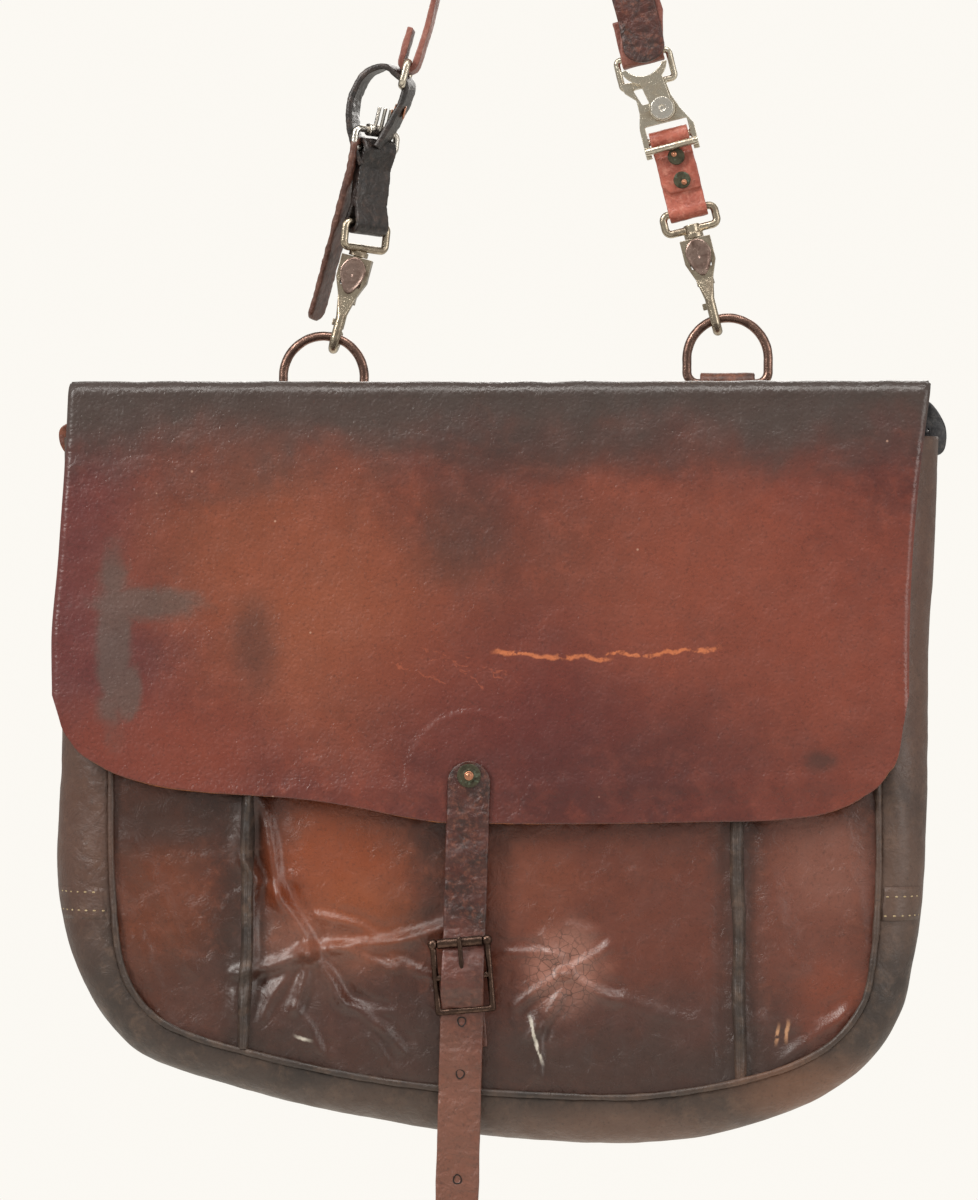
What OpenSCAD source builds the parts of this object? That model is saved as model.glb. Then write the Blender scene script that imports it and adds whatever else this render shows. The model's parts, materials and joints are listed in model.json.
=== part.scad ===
// Leather satchel bag, hanging by its shoulder strap.
// Millimetres. +X is to the bag's right as seen from the front, +Y is
// towards the back (the wall side), +Z is up.
// The origin is the axis of the peg that the shoulder strap hangs over.
// The sub-parts are built in the bag's own frame, where z = 0 is the lowest
// point of the body, and placed() drops them below the peg.

/* [Bag body] */
// Half of the body's width at the back panel
half_w = 216; // [180:1:260]
// Height of the body's top edge above its lowest point
body_top = 352; // [290:1:420]
// Depth of the body at its lowest point, front face to the ring plane
depth_bottom = 105; // [88:1:126]
// Depth of the body at the flap's crease
depth_top = 72; // [60:1:86]
// Corner radius of the body's outline
corner_r = 75; // [60:1:100]
// Radius of the sagging bottom edge
sag_r = 500; // [420:1:800]
// Radius that rolls the gusset into the front panel
roll_r = 24; // [18:1:28]
// Thickness of the body leather
leather = 2.6; // [2:0.1:3.5]
// Distance of the front panel's two vertical seams from the middle
seam_x = 125; // [100:1:150]
// Height of the lap seams between side and bottom gussets
lap_z = 110; // [105:1:140]
// Height of the lap bands
lap_h = 17; // [12:1:22]

/* [Flap] */
// Height of the flap's top plate above the body's lowest point
flap_z = 376; // [312:1:450]
// Thickness of the flap leather
flap_t = 3; // [2.4:0.1:4]
// Height of the flap's lower edge
flap_low = 160; // [140:1:190]
// Corner radius of the flap
flap_r = 38; // [20:1:60]
// Space between the front panel and the flap
flap_gap = 4.5; // [3.6:0.1:6]

/* [Rings and chapes] */
// Wire diameter of the D-rings
ring_wire = 4.8; // [4:0.1:5.4]
// Outer width of a D-ring
ring_w = 46.5; // [40:0.5:54]
// Outer height of a D-ring
ring_h = 38.5; // [34:0.5:44]
// Position of the left D-ring across the bag
ring_left_x = -90.5; // [-110:0.5:-70]
// Position of the right D-ring across the bag
ring_right_x = 117.5; // [80:0.5:130]
// Height of the right D-ring's bar above the flap's top plate
ring_rise = 4.4; // [3:0.1:8]
// How much lower the left D-ring is stitched on
ring_drop = 9; // [0:0.5:12]
// Width of the leather chape round each D-ring
chape_w = 28; // [22:0.5:29]
// Thickness of the chape leather
chape_t = 2.3; // [1.8:0.1:2.4]

/* [Closing strap and buckle] */
// Position of the closing strap across the bag
strap_x = -12; // [-40:1:40]
// Width of the closing strap
close_w = 21; // [16:0.5:22]
// Thickness of the closing strap
close_t = 2.4; // [1.8:0.1:2.6]
// Height of the closing strap's rounded top end
close_top = 191; // [185:1:215]
// Lowest point of the closing strap, below the body
close_end = -45; // [-80:1:-20]
// Sideways lean of the closing strap in degrees
close_lean = 1.5; // [0:0.1:2]
// Distance between the closing strap's holes
hole_pitch = 26; // [20:1:30]
// Radius of the closing strap's holes
hole_r = 1.6; // [1.2:0.1:2]
// Height of the buckle's centre bar
buckle_z = 83; // [75:1:95]
// Tilt of the buckle in degrees
buckle_tilt = 5; // [0:0.5:6]
// Wire radius of the buckle frame
buckle_wire = 1.6; // [1.3:0.1:1.8]
// Space between the buckle's side rails
buckle_in_w = 24; // [23.5:0.1:27]
// Height of the buckle frame between its outer bars
buckle_h = 34; // [32:0.5:40]

/* [Shoulder strap] */
// Position of the hanging peg across the bag
hang_x = 8; // [-20:1:20]
// Height of the hanging peg above the body's lowest point
hang_z = 702; // [660:1:900]
// Radius of the peg that fits inside the strap's bend
peg_r = 9; // [6:0.5:12]
// Width of the shoulder strap
sling_w = 22; // [18:0.5:23]
// Thickness of the shoulder strap
sling_t = 3.2; // [2.4:0.1:3.6]
// Lean of the left fittings in degrees
lean_left = 15; // [10:0.5:18]
// Lean of the right fittings in degrees
lean_right = 14; // [10:0.5:18]

/* [Hidden] */

$fn = 40;
// clearance between pieces that lie against each other
gap = 0.3;
// clearance round a swivel or hinge
play = 0.08;
// height of the corner arcs' centres
corner_z = sag_r - sqrt(pow(sag_r - corner_r, 2) - pow(half_w - corner_r, 2));
// half of the angle that the sagging bottom arc spans
sag_a = asin((half_w - corner_r) / (sag_r - corner_r));
// outer face of the back panel, clear of the two-ply ring tabs
ring_slack = 0.8;
back_y = -(ring_wire / 2 + ring_slack + chape_t + gap);
back_in_y = back_y - leather;
ring_mid_w = ring_w - ring_wire;
ring_mid_h = ring_h - ring_wire;
ring_arc = ring_mid_w / 2;
bar_right_z = flap_z + ring_rise;
bar_left_z = bar_right_z - ring_drop;
// where a hook holds a ring's arc, as an angle from the ring's top
hook_angle = 18;
hook_in = ring_arc * sin(hook_angle);
hook_up = ring_mid_h - ring_arc * (1 - cos(hook_angle));
grip_left = [ring_left_x + hook_in, bar_left_z + hook_up];
grip_right = [ring_right_x - hook_in, bar_right_z + hook_up];

// depth of the front face at a height
function face(z) = -(depth_bottom - (depth_bottom - depth_top) * z / flap_z);
face_lean = atan((depth_bottom - depth_top) / flap_z);

// One station of the outline: arc centre x and z, arc radius, angle of the outward normal
function side_stations(s, z0, z1, n) =
    [for (i = [0 : n]) [s * (half_w - corner_r), z0 + (z1 - z0) * i / n, corner_r, s < 0 ? 180 : 360]];
function corner_left(n) =
    [for (i = [0 : n]) [-(half_w - corner_r), corner_z, corner_r, 180 + (90 - sag_a) * i / n]];
function corner_right(n) =
    [for (i = [0 : n]) [half_w - corner_r, corner_z, corner_r, 270 + sag_a + (90 - sag_a) * i / n]];
function sag_stations(n) =
    [for (i = [1 : n - 1]) [0, sag_r, sag_r, 270 - sag_a + 2 * sag_a * i / n]];
function low_stations(n) = concat(corner_left(n), sag_stations(n * 2), corner_right(n));
function at(s, inset) = [s[0] + (s[2] - inset) * cos(s[3]), s[1] + (s[2] - inset) * sin(s[3])];
function outline(inset, top) = concat([[-(half_w - inset), top]],
    [for (s = low_stations(12)) at(s, inset)], [[half_w - inset, top]]);

// A closed section swept through rows of 3-D points
module skin(rows) {
    n = len(rows[0]);
    m = len(rows);
    sides = [for (i = [0 : m - 2]) for (j = [0 : n - 1]) for (k = [0 : 1])
        let (a = i * n + j, b = i * n + (j + 1) % n, c = b + n, d = a + n)
        k == 0 ? [a, b, c] : [a, c, d]];
    first = [[for (j = [n - 1 : -1 : 0]) j]];
    last = [[for (j = [0 : n - 1]) (m - 1) * n + j]];
    polyhedron(points = [for (r = rows) for (p = r) p], faces = concat(first, sides, last));
}

// The gusset's section at a station: the roll into the front panel, then the depth
function gusset_row(s) =
    let (steps = 6, front = at(s, roll_r), fy = face(front[1]), out_y = back_in_y - gap)
    let (outer = [for (i = [0 : steps]) let (a = 90 - 90 * i / steps)
            [roll_r * (1 - cos(a)), fy + roll_r * (1 - sin(a))]],
        inner = [for (i = [0 : steps]) let (a = 90 * i / steps)
            [roll_r - (roll_r - leather) * cos(a), fy + roll_r - (roll_r - leather) * sin(a)]])
    let (section = concat(outer, [[0, out_y], [leather, out_y]], inner))
    [for (q = section) let (p = at(s, q[0])) [p[0], q[1], p[1]]];

module placed() {
    translate([-hang_x, 0, -hang_z]) children();
}

// A slab parallel to the front face, from d0 to d1 in front of it
module face_slab(d0, d1) {
    translate([0, face(0), 0])
        rotate([-face_lean, 0, 0])
            translate([-half_w - 20, -d1, -60])
                cube([2 * half_w + 40, d1 - d0, flap_z + 120]);
}

// The part of a plate lying on the front face that has the given outline
module on_face(d0, d1) {
    intersection() {
        rotate([90, 0, 0]) linear_extrude(depth_bottom + 40) children();
        face_slab(d0, d1);
    }
}

module panel_part(x0, x1) {
    on_face(-leather, 0)
        intersection() {
            polygon(outline(roll_r + gap, body_top));
            translate([x0, -20]) square([x1 - x0, body_top + 60]);
        }
}

// A rivet along Y with a head on each side of what it holds
module rivet(x, z, y0, y1, shank, head, head_t) {
    translate([x, y0, z]) rotate([90, 0, 0]) {
        translate([0, 0, -head_t]) cylinder(r = head, h = head_t);
        translate([0, 0, -head_t]) cylinder(r = shank, h = y0 - y1 + 2 * head_t);
        translate([0, 0, y0 - y1]) cylinder(r = head, h = head_t);
    }
}

module back_panel() {
    color("saddlebrown") placed()
        difference() {
            translate([0, back_y, 0]) rotate([90, 0, 0])
                linear_extrude(leather) polygon(outline(0, flap_z - 1.5));
            for (p = [[ring_left_x, bar_left_z - 24], [ring_right_x, bar_right_z - 24]])
                for (s = [-1, 1])
                    translate([p[0] + s * 8, 1, p[1]]) rotate([90, 0, 0]) cylinder(r = 1.7, h = 30);
        }
}

module front_panel_left() {
    color("sienna") placed() panel_part(-half_w, -seam_x - gap / 2);
}

module front_panel_centre() {
    color("sienna") placed()
        difference() {
            panel_part(-seam_x + gap / 2, seam_x - gap / 2);
            translate([chape_rivet_x, 0, chape_rivet_z]) rotate([90, 0, 0])
                cylinder(r = 1.7, h = depth_bottom + 20);
        }
}

module front_panel_right() {
    color("sienna") placed() panel_part(seam_x + gap / 2, half_w);
}

seam_w = 6;
seam_h = 2.2;
module front_seam(x) {
    on_face(gap, gap + seam_h)
        intersection() {
            polygon(outline(roll_r + 6, body_top));
            translate([x - seam_w / 2, 0]) square([seam_w, body_top]);
        }
}

module front_seam_left() {
    color("saddlebrown") placed() front_seam(-seam_x);
}

module front_seam_right() {
    color("saddlebrown") placed() front_seam(seam_x);
}

// Piping where the gusset meets the front panel
welt_r = 1.5;
welt_sides = 8;
function welt_row(s) =
    [for (k = [0 : welt_sides - 1])
        let (a = 360 * k / welt_sides, p = at(s, roll_r + welt_r * cos(a)), q = at(s, roll_r))
        [p[0], face(q[1]) - gap - welt_r - 0.1 + welt_r * sin(a), p[1]]];
module front_welt() {
    stations = concat(side_stations(-1, body_top, corner_z + 1, 2), low_stations(10),
        side_stations(1, corner_z + 1, body_top, 2));
    color("dimgray") placed() skin([for (s = stations) welt_row(s)]);
}

module gusset_left() {
    color("dimgray") placed()
        mirror([1, 0, 0]) skin([for (s = side_stations(1, lap_z + gap, body_top, 5)) gusset_row(s)]);
}

module gusset_right() {
    color("dimgray") placed()
        skin([for (s = side_stations(1, lap_z + gap, body_top, 5)) gusset_row(s)]);
}

module gusset_bottom() {
    stations = concat([side_stations(-1, lap_z, lap_z, 1)[0]], low_stations(10),
        [side_stations(1, lap_z, lap_z, 1)[0]]);
    color("dimgray") placed() skin([for (s = stations) gusset_row(s)]);
}

// A band wrapped over the gusset where its side and bottom pieces lap
band_t = 2;
module gusset_band() {
    z0 = lap_z - 1;
    fy = face(z0 + lap_h);
    r_in = roll_r + gap + max(1.2, face(z0 + lap_h) - face(z0) - 0.3);
    r_out = r_in + band_t;
    y_end = back_in_y - gap - fy - roll_r;
    translate([0, 0, z0]) linear_extrude(lap_h)
        translate([half_w - roll_r, fy + roll_r])
            polygon(concat(arc([0, 0], r_out, -84, 0, 14), [[r_out, y_end], [r_in, y_end]],
                arc([0, 0], r_in, 0, -84, 14)));
}

module gusset_band_left() {
    color("dimgray") placed() mirror([1, 0, 0]) gusset_band();
}

module gusset_band_right() {
    color("dimgray") placed() gusset_band();
}

// A strip of leather that follows a path in a plane, as a closed outline
function unit2(v) = v / norm(v);
function strip_normal(p, i) =
    let (a = p[max(i - 1, 0)], b = p[min(i + 1, len(p) - 1)], t = unit2(b - a)) [-t[1], t[0]];
function strip(p, t) = concat(
    [for (i = [0 : len(p) - 1]) p[i] + strip_normal(p, i) * t / 2],
    [for (i = [len(p) - 1 : -1 : 0]) p[i] - strip_normal(p, i) * t / 2]);
function arc(c, r, a0, a1, n) = [for (i = [0 : n]) let (a = a0 + (a1 - a0) * i / n) c + r * [cos(a), sin(a)]];

// A profile drawn in depth and height, extruded across the bag
module across(w) {
    rotate([90, 0, 90]) linear_extrude(w, center = true) children();
}

// Leather chape round a ring's bar, its two plies riveted behind the back panel
tab_drop = 36;
module ring_chape(x, z, slack) {
    r = ring_wire / 2 + slack + chape_t / 2;
    front_y = back_y + gap + chape_t / 2;
    rear_y = front_y + chape_t + gap;
    c = [front_y + r, z];
    path = concat([[front_y, z - tab_drop]], arc(c, r, 180, -40, 12),
        [[rear_y, z - r - 7], [rear_y, z - tab_drop]]);
    difference() {
        translate([x, 0, 0]) across(chape_w) polygon(strip(path, chape_t));
        for (s = [-1, 1])
            translate([x + s * 8, 10, z - 24]) rotate([90, 0, 0]) cylinder(r = 1.7, h = 30);
    }
}

module ring_chape_left() {
    color("saddlebrown") placed() ring_chape(ring_left_x, bar_left_z, ring_slack);
}

module ring_chape_right() {
    color("saddlebrown") placed() ring_chape(ring_right_x, bar_right_z, ring_slack);
}

module ring_chape_rivets() {
    rear = back_y + 2 * gap + 2 * chape_t + 0.4;
    color("darkkhaki") placed()
        for (p = [[ring_left_x, bar_left_z - 24], [ring_right_x, bar_right_z - 24]])
            for (s = [-1, 1])
                rivet(p[0] + s * 8, p[1], rear, back_in_y - 0.2, 1.5, 4, 0.9);
}

// Heights and depths of the closing strap where it passes the buckle
close_rivet_z = close_top - 8.5;
buckle_x = strap_x + 2 - (close_rivet_z - buckle_z) * sin(close_lean);
bar_y = min(face(buckle_z) - 10.6, face(buckle_z - 36) - 7.4);
chape_loop_r = buckle_wire + gap + 0.9;
over_y = bar_y - chape_loop_r - 0.9 - gap - close_t / 2;
rivet_drop = 26;
chape_rivet_x = buckle_x + rivet_drop * sin(buckle_tilt);
chape_rivet_z = buckle_z - rivet_drop * cos(buckle_tilt);
under_top_z = buckle_z + buckle_h / 2;
under_low_z = buckle_z - buckle_h / 2;
// the strap's middle behind the roller, behind the lower bar and where it hangs free
under_top_y = bar_y + buckle_wire + 1 + gap + close_t / 2;
under_low_y = bar_y + buckle_wire + gap + close_t / 2 + 0.1;
free_y = under_low_y - 2.2;
low_y = min(free_y - 1.2, face(20) - 5.2);

module buckle_chape() {
    t = 1.8;
    r = buckle_wire + gap + t / 2;
    // the two plies lie on the face below the bar
    function ply(z, k) = face(z) - gap - t / 2 - k * (t + gap);
    path = concat([[ply(buckle_z - 36, 0), buckle_z - 36], [ply(buckle_z - 12, 0), buckle_z - 12]],
        arc([bar_y, buckle_z], r, -20, 200, 12),
        [[ply(buckle_z - 12, 1), buckle_z - 12], [ply(buckle_z - 36, 1), buckle_z - 36]]);
    color("saddlebrown") placed() translate([buckle_x, 0, buckle_z]) rotate([0, -buckle_tilt, 0])
        translate([0, 0, -buckle_z]) difference() {
            across(18) polygon(strip(path, t));
            translate([0, bar_y, buckle_z + 2]) cube([5.5, 12, 12], center = true);
            translate([0, 0, buckle_z - rivet_drop]) rotate([90, 0, 0])
                cylinder(r = 1.7, h = depth_bottom + 20);
        }
}

module buckle_chape_rivet() {
    y1 = face(chape_rivet_z) - 2 * gap - 3.6 - 0.4 - 3.4 * max(0, tan(face_lean) - 0.09);
    y0 = face(chape_rivet_z) + leather + 0.6;
    color("darkkhaki") placed() rivet(chape_rivet_x, chape_rivet_z, y0, y1, 1.5, 3.4, 0.6);
}

flap_in = flap_gap;
crease_y = face(flap_z) - flap_in - flap_t;
module flap_top() {
    color("maroon") placed()
        translate([-half_w + 1, crease_y + 4, flap_z])
            cube([2 * half_w - 2, back_in_y + 0.6 - crease_y - 4, flap_t]);
}

module flap_front() {
    half = half_w - 1;
    z1 = flap_z + flap_t - 2;
    color("maroon") placed()
        difference() {
            on_face(flap_in, flap_in + flap_t)
                union() {
                    translate([-half, flap_low + flap_r]) square([2 * half, z1 - flap_low - flap_r]);
                    translate([-half + flap_r, flap_low]) square([2 * half - 2 * flap_r, flap_r + 1]);
                    for (s = [-1, 1])
                        translate([s * (half - flap_r), flap_low + flap_r]) circle(r = flap_r);
                }
            translate([strap_x + 2, 0, close_rivet_z]) rotate([90, 0, 0])
                cylinder(r = 1.7, h = depth_bottom + 40);
        }
}

flap_out_y = face(close_rivet_z) - flap_in - flap_t;
module closing_strap_rivet() {
    y1 = flap_out_y - gap - close_t - max(1.2, 6 * tan(face_lean) + 0.67);
    y0 = face(close_rivet_z) - flap_in + 0.5;
    color("mediumaquamarine") placed()
        union() {
            rivet(strap_x + 2, close_rivet_z, y0, y1, 1.5, 3, 0.8);
            translate([strap_x + 2, y1 - 0.2, close_rivet_z]) rotate([-90, 0, 0])
                difference() {
                    cylinder(r = 6, h = 0.7);
                    translate([0, 0, -1]) cylinder(r = 1.4, h = 3);
                }
        }
}

// Side view of the closing strap: on the flap, behind the roller, over the
// centre bar, behind the lower bar, then hanging free
function flap_line(z) = face(z) - flap_in - flap_t - gap - close_t / 2;
close_path = concat(
    [[flap_line(close_top), close_top], [flap_line(flap_low + 2) , flap_low + 2],
        [mix(flap_line(flap_low), under_top_y, 0.5), mix(flap_low, under_top_z, 0.5)]],
    [[under_top_y, under_top_z + 4], [under_top_y - 0.3, under_top_z - 3.2],
        [over_y + 3.2, buckle_z + 8], [over_y + 0.4, buckle_z + 3.2], [over_y, buckle_z],
        [over_y + 0.4, buckle_z - 3.2], [over_y + 3.2, buckle_z - 8],
        [under_low_y - 0.3, under_low_z + 3], [under_low_y, under_low_z - 2.4]],
    [[free_y, under_low_z - 6], [low_y, 24], [low_y + 0.4, close_end]]);

module closing_strap() {
    prong_z = buckle_z + 7;
    color("saddlebrown") placed()
        translate([strap_x + 2, 0, close_rivet_z]) rotate([0, close_lean, 0])
            translate([0, 0, -close_rivet_z])
                difference() {
                    intersection() {
                        across(close_w) polygon(strip(close_path, close_t));
                        rotate([90, 0, 0]) linear_extrude(depth_bottom + 60) union() {
                            translate([0, close_top - close_w / 2]) circle(r = close_w / 2);
                            translate([-close_w / 2, close_end + 12])
                                square([close_w, close_top - close_w / 2 - close_end - 12]);
                            translate([0, close_end + 12]) circle(r = close_w / 2);
                        }
                    }
                    translate([0, 0, close_rivet_z]) rotate([90, 0, 0])
                        cylinder(r = 1.7, h = depth_bottom + 60);
                    for (i = [1 : 4])
                        translate([0, 0, buckle_z + 3 - i * hole_pitch]) rotate([90, 0, 0])
                            cylinder(r = hole_r, h = depth_bottom + 60);
                    translate([-2.2, -depth_bottom - 60, prong_z - 8]) cube([4.4, 100, 14]);
                }
}

// Buckle, tilted about its centre
module buckle_place() {
    placed() translate([buckle_x, bar_y, buckle_z]) rotate([0, -buckle_tilt, 0]) children();
}

knob_r = 2.7;
roller_in = buckle_wire + play;
module buckle_frame() {
    w = buckle_in_w / 2 + buckle_wire;
    h = buckle_h / 2;
    color("darkgoldenrod") buckle_place() union() {
        for (s = [-1, 1])
            translate([s * w, 0, -h]) cylinder(r = buckle_wire, h = 2 * h);
        for (z = [-h, 0, h])
            translate([-w, 0, z]) rotate([0, 90, 0]) cylinder(r = buckle_wire, h = 2 * w);
        for (s = [-1, 1])
            translate([s * w, 0, h]) sphere(r = knob_r);
        for (s = [-1, 1])
            translate([s * w, 0, -h]) sphere(r = buckle_wire);
    }
}

module buckle_roller() {
    w = buckle_in_w / 2 + buckle_wire;
    l = min(buckle_in_w - 1.6, 2 * (w - sqrt(pow(knob_r, 2) - pow(roller_in, 2))) - 0.2);
    color("darkgoldenrod") buckle_place()
        translate([-l / 2, 0, buckle_h / 2]) rotate([0, 90, 0])
            difference() {
                cylinder(r = roller_in + 0.9, h = l);
                translate([0, 0, -1]) cylinder(r = roller_in, h = l + 2);
            }
}

prong_r = 1.2;
module buckle_prong() {
    reach = buckle_h / 2 - 0.4;
    tip_y = -(roller_in + 0.9 + gap + prong_r);
    eye_mid = buckle_wire + play + 1.1;
    color("darkgoldenrod") buckle_place() union() {
        rotate([0, 90, 0]) difference() {
            cylinder(r = eye_mid + 1.1, h = 3.4, center = true);
            cylinder(r = buckle_wire + play, h = 5, center = true);
        }
        rod([0, -eye_mid, 0], [0, tip_y, reach + 2.4], prong_r);
        translate([0, tip_y, reach + 2.4]) sphere(r = prong_r);
    }
}

// A round rod between two points
module rod(p, q, r) {
    v = q - p;
    l = norm(v);
    translate(p) rotate([0, acos(v[2] / l), atan2(v[1], v[0])]) cylinder(r = r, h = l);
}

// A closed loop of round wire in the XZ plane, with a bend radius at each corner
function turn_of(p, i) = let (n = len(p), a = p[(i + n - 1) % n], b = p[i], c = p[(i + 1) % n],
    u = unit2(b - a), v = unit2(c - b)) atan2(u[0] * v[1] - u[1] * v[0], u * v);
function head_of(p, i) = let (n = len(p), u = unit2(p[(i + 1) % n] - p[i])) u;
module wire_loop(p, bends, r) {
    n = len(p);
    rotate([90, 0, 0]) for (i = [0 : n - 1]) {
        j = (i + 1) % n;
        u = head_of(p, (i + n - 1) % n);
        v = head_of(p, i);
        turn = turn_of(p, i);
        cut_i = bends[i] * tan(turn / 2);
        cut_j = bends[j] * tan(turn_of(p, j) / 2);
        start = p[i] - u * cut_i;
        centre = start + bends[i] * [-u[1], u[0]];
        translate([centre[0], centre[1], 0])
            rotate([0, 0, atan2(u[1], u[0]) - 90])
                rotate_extrude(angle = turn) translate([bends[i], 0]) circle(r = r);
        a = p[i] + v * cut_i;
        b = p[j] - v * cut_j;
        if (norm(b - a) > 0.02)
            rod([a[0], a[1], 0], [b[0], b[1], 0], r);
    }
}

// D-ring: straight bar at the bottom, half-round top
bar_bend = 6;
module d_ring() {
    w = ring_mid_w / 2;
    wire_loop([[-w, 0], [w, 0], [w, ring_mid_h], [-w, ring_mid_h]],
        [bar_bend, bar_bend, w - 0.02, w - 0.02], ring_wire / 2);
}

module d_ring_left() {
    color("peru") placed() translate([ring_left_x, 0, bar_left_z]) d_ring();
}

module d_ring_right() {
    color("peru") placed() translate([ring_right_x, 0, bar_right_z]) d_ring();
}

// Frames of the two chains of fittings: origin at the hook's grip, z up the chain
module on_left() {
    placed() translate([grip_left[0], 0, grip_left[1]]) rotate([0, lean_left, 0]) children();
}

module on_right() {
    placed() translate([grip_right[0], 0, grip_right[1]]) rotate([0, -lean_right, 0]) children();
}

// Swivel snap hook: its curl lies in depth and height, open towards the back
hook_r = 2.5;
curl_r = ring_wire / 2 + 0.9 + hook_r;
bulb_low = 22;
bulb_high = 43;
bulb_w = 16;
bulb_d = 11;
stud_r = 2.2;
pin_z = 21;
pin_y = 4.2;
module snap_hook() {
    difference() {
        union() {
            // curl under the ring, from the shank in front to the tip behind
            rotate([0, -90, 0]) rotate([0, 0, 90]) rotate_extrude(angle = 180)
                translate([curl_r, 0]) circle(r = hook_r);
            translate([0, curl_r, 0]) cylinder(r = hook_r, h = 2.2);
            translate([0, curl_r, 2.2]) sphere(r = hook_r);
            // shank
            translate([0, -curl_r, 0]) cylinder(r = hook_r, h = 11);
            hull() {
                translate([0, -curl_r, 11]) cylinder(r = hook_r, h = 0.1, $fn = 32);
                translate([-4.6, -5.2, bulb_low]) cube([9.2, 8, 0.1]);
            }
            // bulb
            hull() {
                translate([-4.6, -5.2, bulb_low]) cube([9.2, 8, 0.1]);
                translate([-bulb_w / 2, -bulb_d / 2, bulb_low + 9]) cube([bulb_w, bulb_d, 7]);
            }
            translate([-bulb_w / 2, -bulb_d / 2, bulb_low + 15]) cube([bulb_w, bulb_d, bulb_high - bulb_low - 15]);
            // ears for the gate's pin
            for (s = [-1, 1])
                translate([s * 3.4, 0, 0]) hull() {
                    translate([-1.1, pin_y - 2.4, pin_z - 2.4]) cube([2.2, 4.8, 4.8]);
                    translate([-1.1, -1, bulb_low + 4]) cube([2.2, 6.4, 3]);
                }
        }
        // window with the stud's head
        translate([0, 0, bulb_low + 11.5]) cube([10.6, 40, 12], center = true);
        translate([0, 0, bulb_high - 8]) cylinder(r = stud_r + play, h = 12);
        translate([-10, pin_y, pin_z]) rotate([0, 90, 0]) cylinder(r = 1.05, h = 20);
        translate([-2.3, 0.5, pin_z - 4.2]) cube([4.6, 12, 8.4]);
    }
}

module snap_hook_left() {
    color("darkkhaki") on_left() snap_hook();
}

module snap_hook_right() {
    color("darkkhaki") on_right() snap_hook();
}

// Gate: a tongue from the pin down to the hook's tip, with a small thumb tab
module snap_gate() {
    difference() {
        union() {
            translate([-1.9, 0, 0]) rotate([0, 90, 0]) translate([-pin_z, pin_y, 0]) cylinder(r = 1.9, h = 3.8);
            rotate([90, 0, 90]) linear_extrude(3.8, center = true)
                polygon([[pin_y - 1.6, pin_z], [pin_y + 1.6, pin_z], [curl_r + 1.6, 5.2], [curl_r - 1.4, 5.2]]);
            translate([-4.6, curl_r - 1.3, 6.2]) cube([3, 2.6, 3.4]);
        }
        translate([-10, pin_y, pin_z]) rotate([0, 90, 0]) cylinder(r = 0.95 + play, h = 20);
    }
}

module snap_gate_left() {
    color("darkkhaki") on_left() snap_gate();
}

module snap_gate_right() {
    color("darkkhaki") on_right() snap_gate();
}

module snap_gate_pin() {
    translate([-4.5, pin_y, pin_z]) rotate([0, 90, 0]) cylinder(r = 0.95, h = 9);
}

module snap_gate_pin_left() {
    color("silver") on_left() snap_gate_pin();
}

module snap_gate_pin_right() {
    color("silver") on_right() snap_gate_pin();
}

// Stud that the hook turns on: a head in the bulb's window and a collar above
module swivel_stud(top) {
    translate([0, 0, bulb_high - 9.6]) cylinder(r = 3.6, h = 2.4);
    translate([0, 0, bulb_high - 8]) cylinder(r = stud_r, h = top - bulb_high + 8);
    translate([0, 0, bulb_high + 0.4]) cylinder(r = 5, h = 2.6);
}

// The left fittings below the strap link are turned part way towards the front
twist = 45;
module swivel_eye_left() {
    w = sling_w / 2 + 3;
    color("darkkhaki") union() {
        on_left() swivel_stud(bulb_high + 6);
        on_left_strap() translate([0, 0, eye_top - 13])
            wire_loop([[-w, 0], [w, 0], [w, 13], [-w, 13]], [3, 3, 3, 3], 2);
    }
}

loop_low = bulb_high + 5;
loop_high = bulb_high + 15;
module swivel_loop_right() {
    w = 13.5;
    color("darkkhaki") on_right() union() {
        swivel_stud(loop_low);
        translate([0, 0, bulb_high + 2]) cylinder(r = 4, h = 5.5);
        translate([0, 0, loop_low])
            wire_loop([[-w, 0], [w, 0], [w, loop_high - loop_low], [-w, loop_high - loop_low]],
                [3, 3, 3, 3], 2);
    }
}

// The strap above the left eye leans back towards the outside
eye_top = bulb_high + 18;
module on_left_strap() {
    on_left() translate([0, 0, eye_top]) rotate([0, -9, 0]) rotate([0, 0, twist])
        translate([0, 0, -eye_top]) children();
}

// A band of leather round two bars, its plies brought together between them
function band_path(z0, z1, r, t) = concat(
    [[-(t + gap) / 2, (z0 + z1) / 2 - 6], [-(t + gap) / 2, z0 + r + 5]],
    arc([0, z0], r, 150, 390, 14),
    [[(t + gap) / 2, z0 + r + 5], [(t + gap) / 2, z1 - r - 5]],
    arc([0, z1], r, -30, 210, 14),
    [[-(t + gap) / 2, z1 - r - 5], [-(t + gap) / 2, (z0 + z1) / 2 - 6 + 2 * gap]]);

link_z = 140;
link_half = 6.2;
fork_bar_z = bulb_high + 62;
left_t = 2.6;
frame_h = 10;
module lower_strap_left() {
    r = 2 + gap + 1 + left_t / 2;
    color("#2b2626") on_left_strap()
        across(sling_w - 1) polygon(strip(band_path(eye_top, fork_bar_z - 6, r, left_t), left_t));
}

right_t = 2.4;
bar_a_z = 96.5;
bar_b_z = 91.5;
bar_b_y = -7.8;
module lower_strap_right() {
    r = 2 + gap + right_t / 2;
    front = -(right_t + gap) / 2 - right_t / 2 - 0.7;
    color("indianred") on_right()
        difference() {
            union() {
                across(20) polygon(strip(band_path(loop_high, bar_a_z, r, right_t), right_t));
                translate([0, front, 68]) rotate([90, 0, 0]) linear_extrude(1.6, center = true)
                    polygon([[-6, 0], [9.5, 0], [10, 1], [10, 19], [-10, 19], [-10, 4]]);
            }
            for (z = lower_rivet_z)
                translate([1, 20, z]) rotate([90, 0, 0]) cylinder(r = 1.5, h = 40);
        }
}

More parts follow.
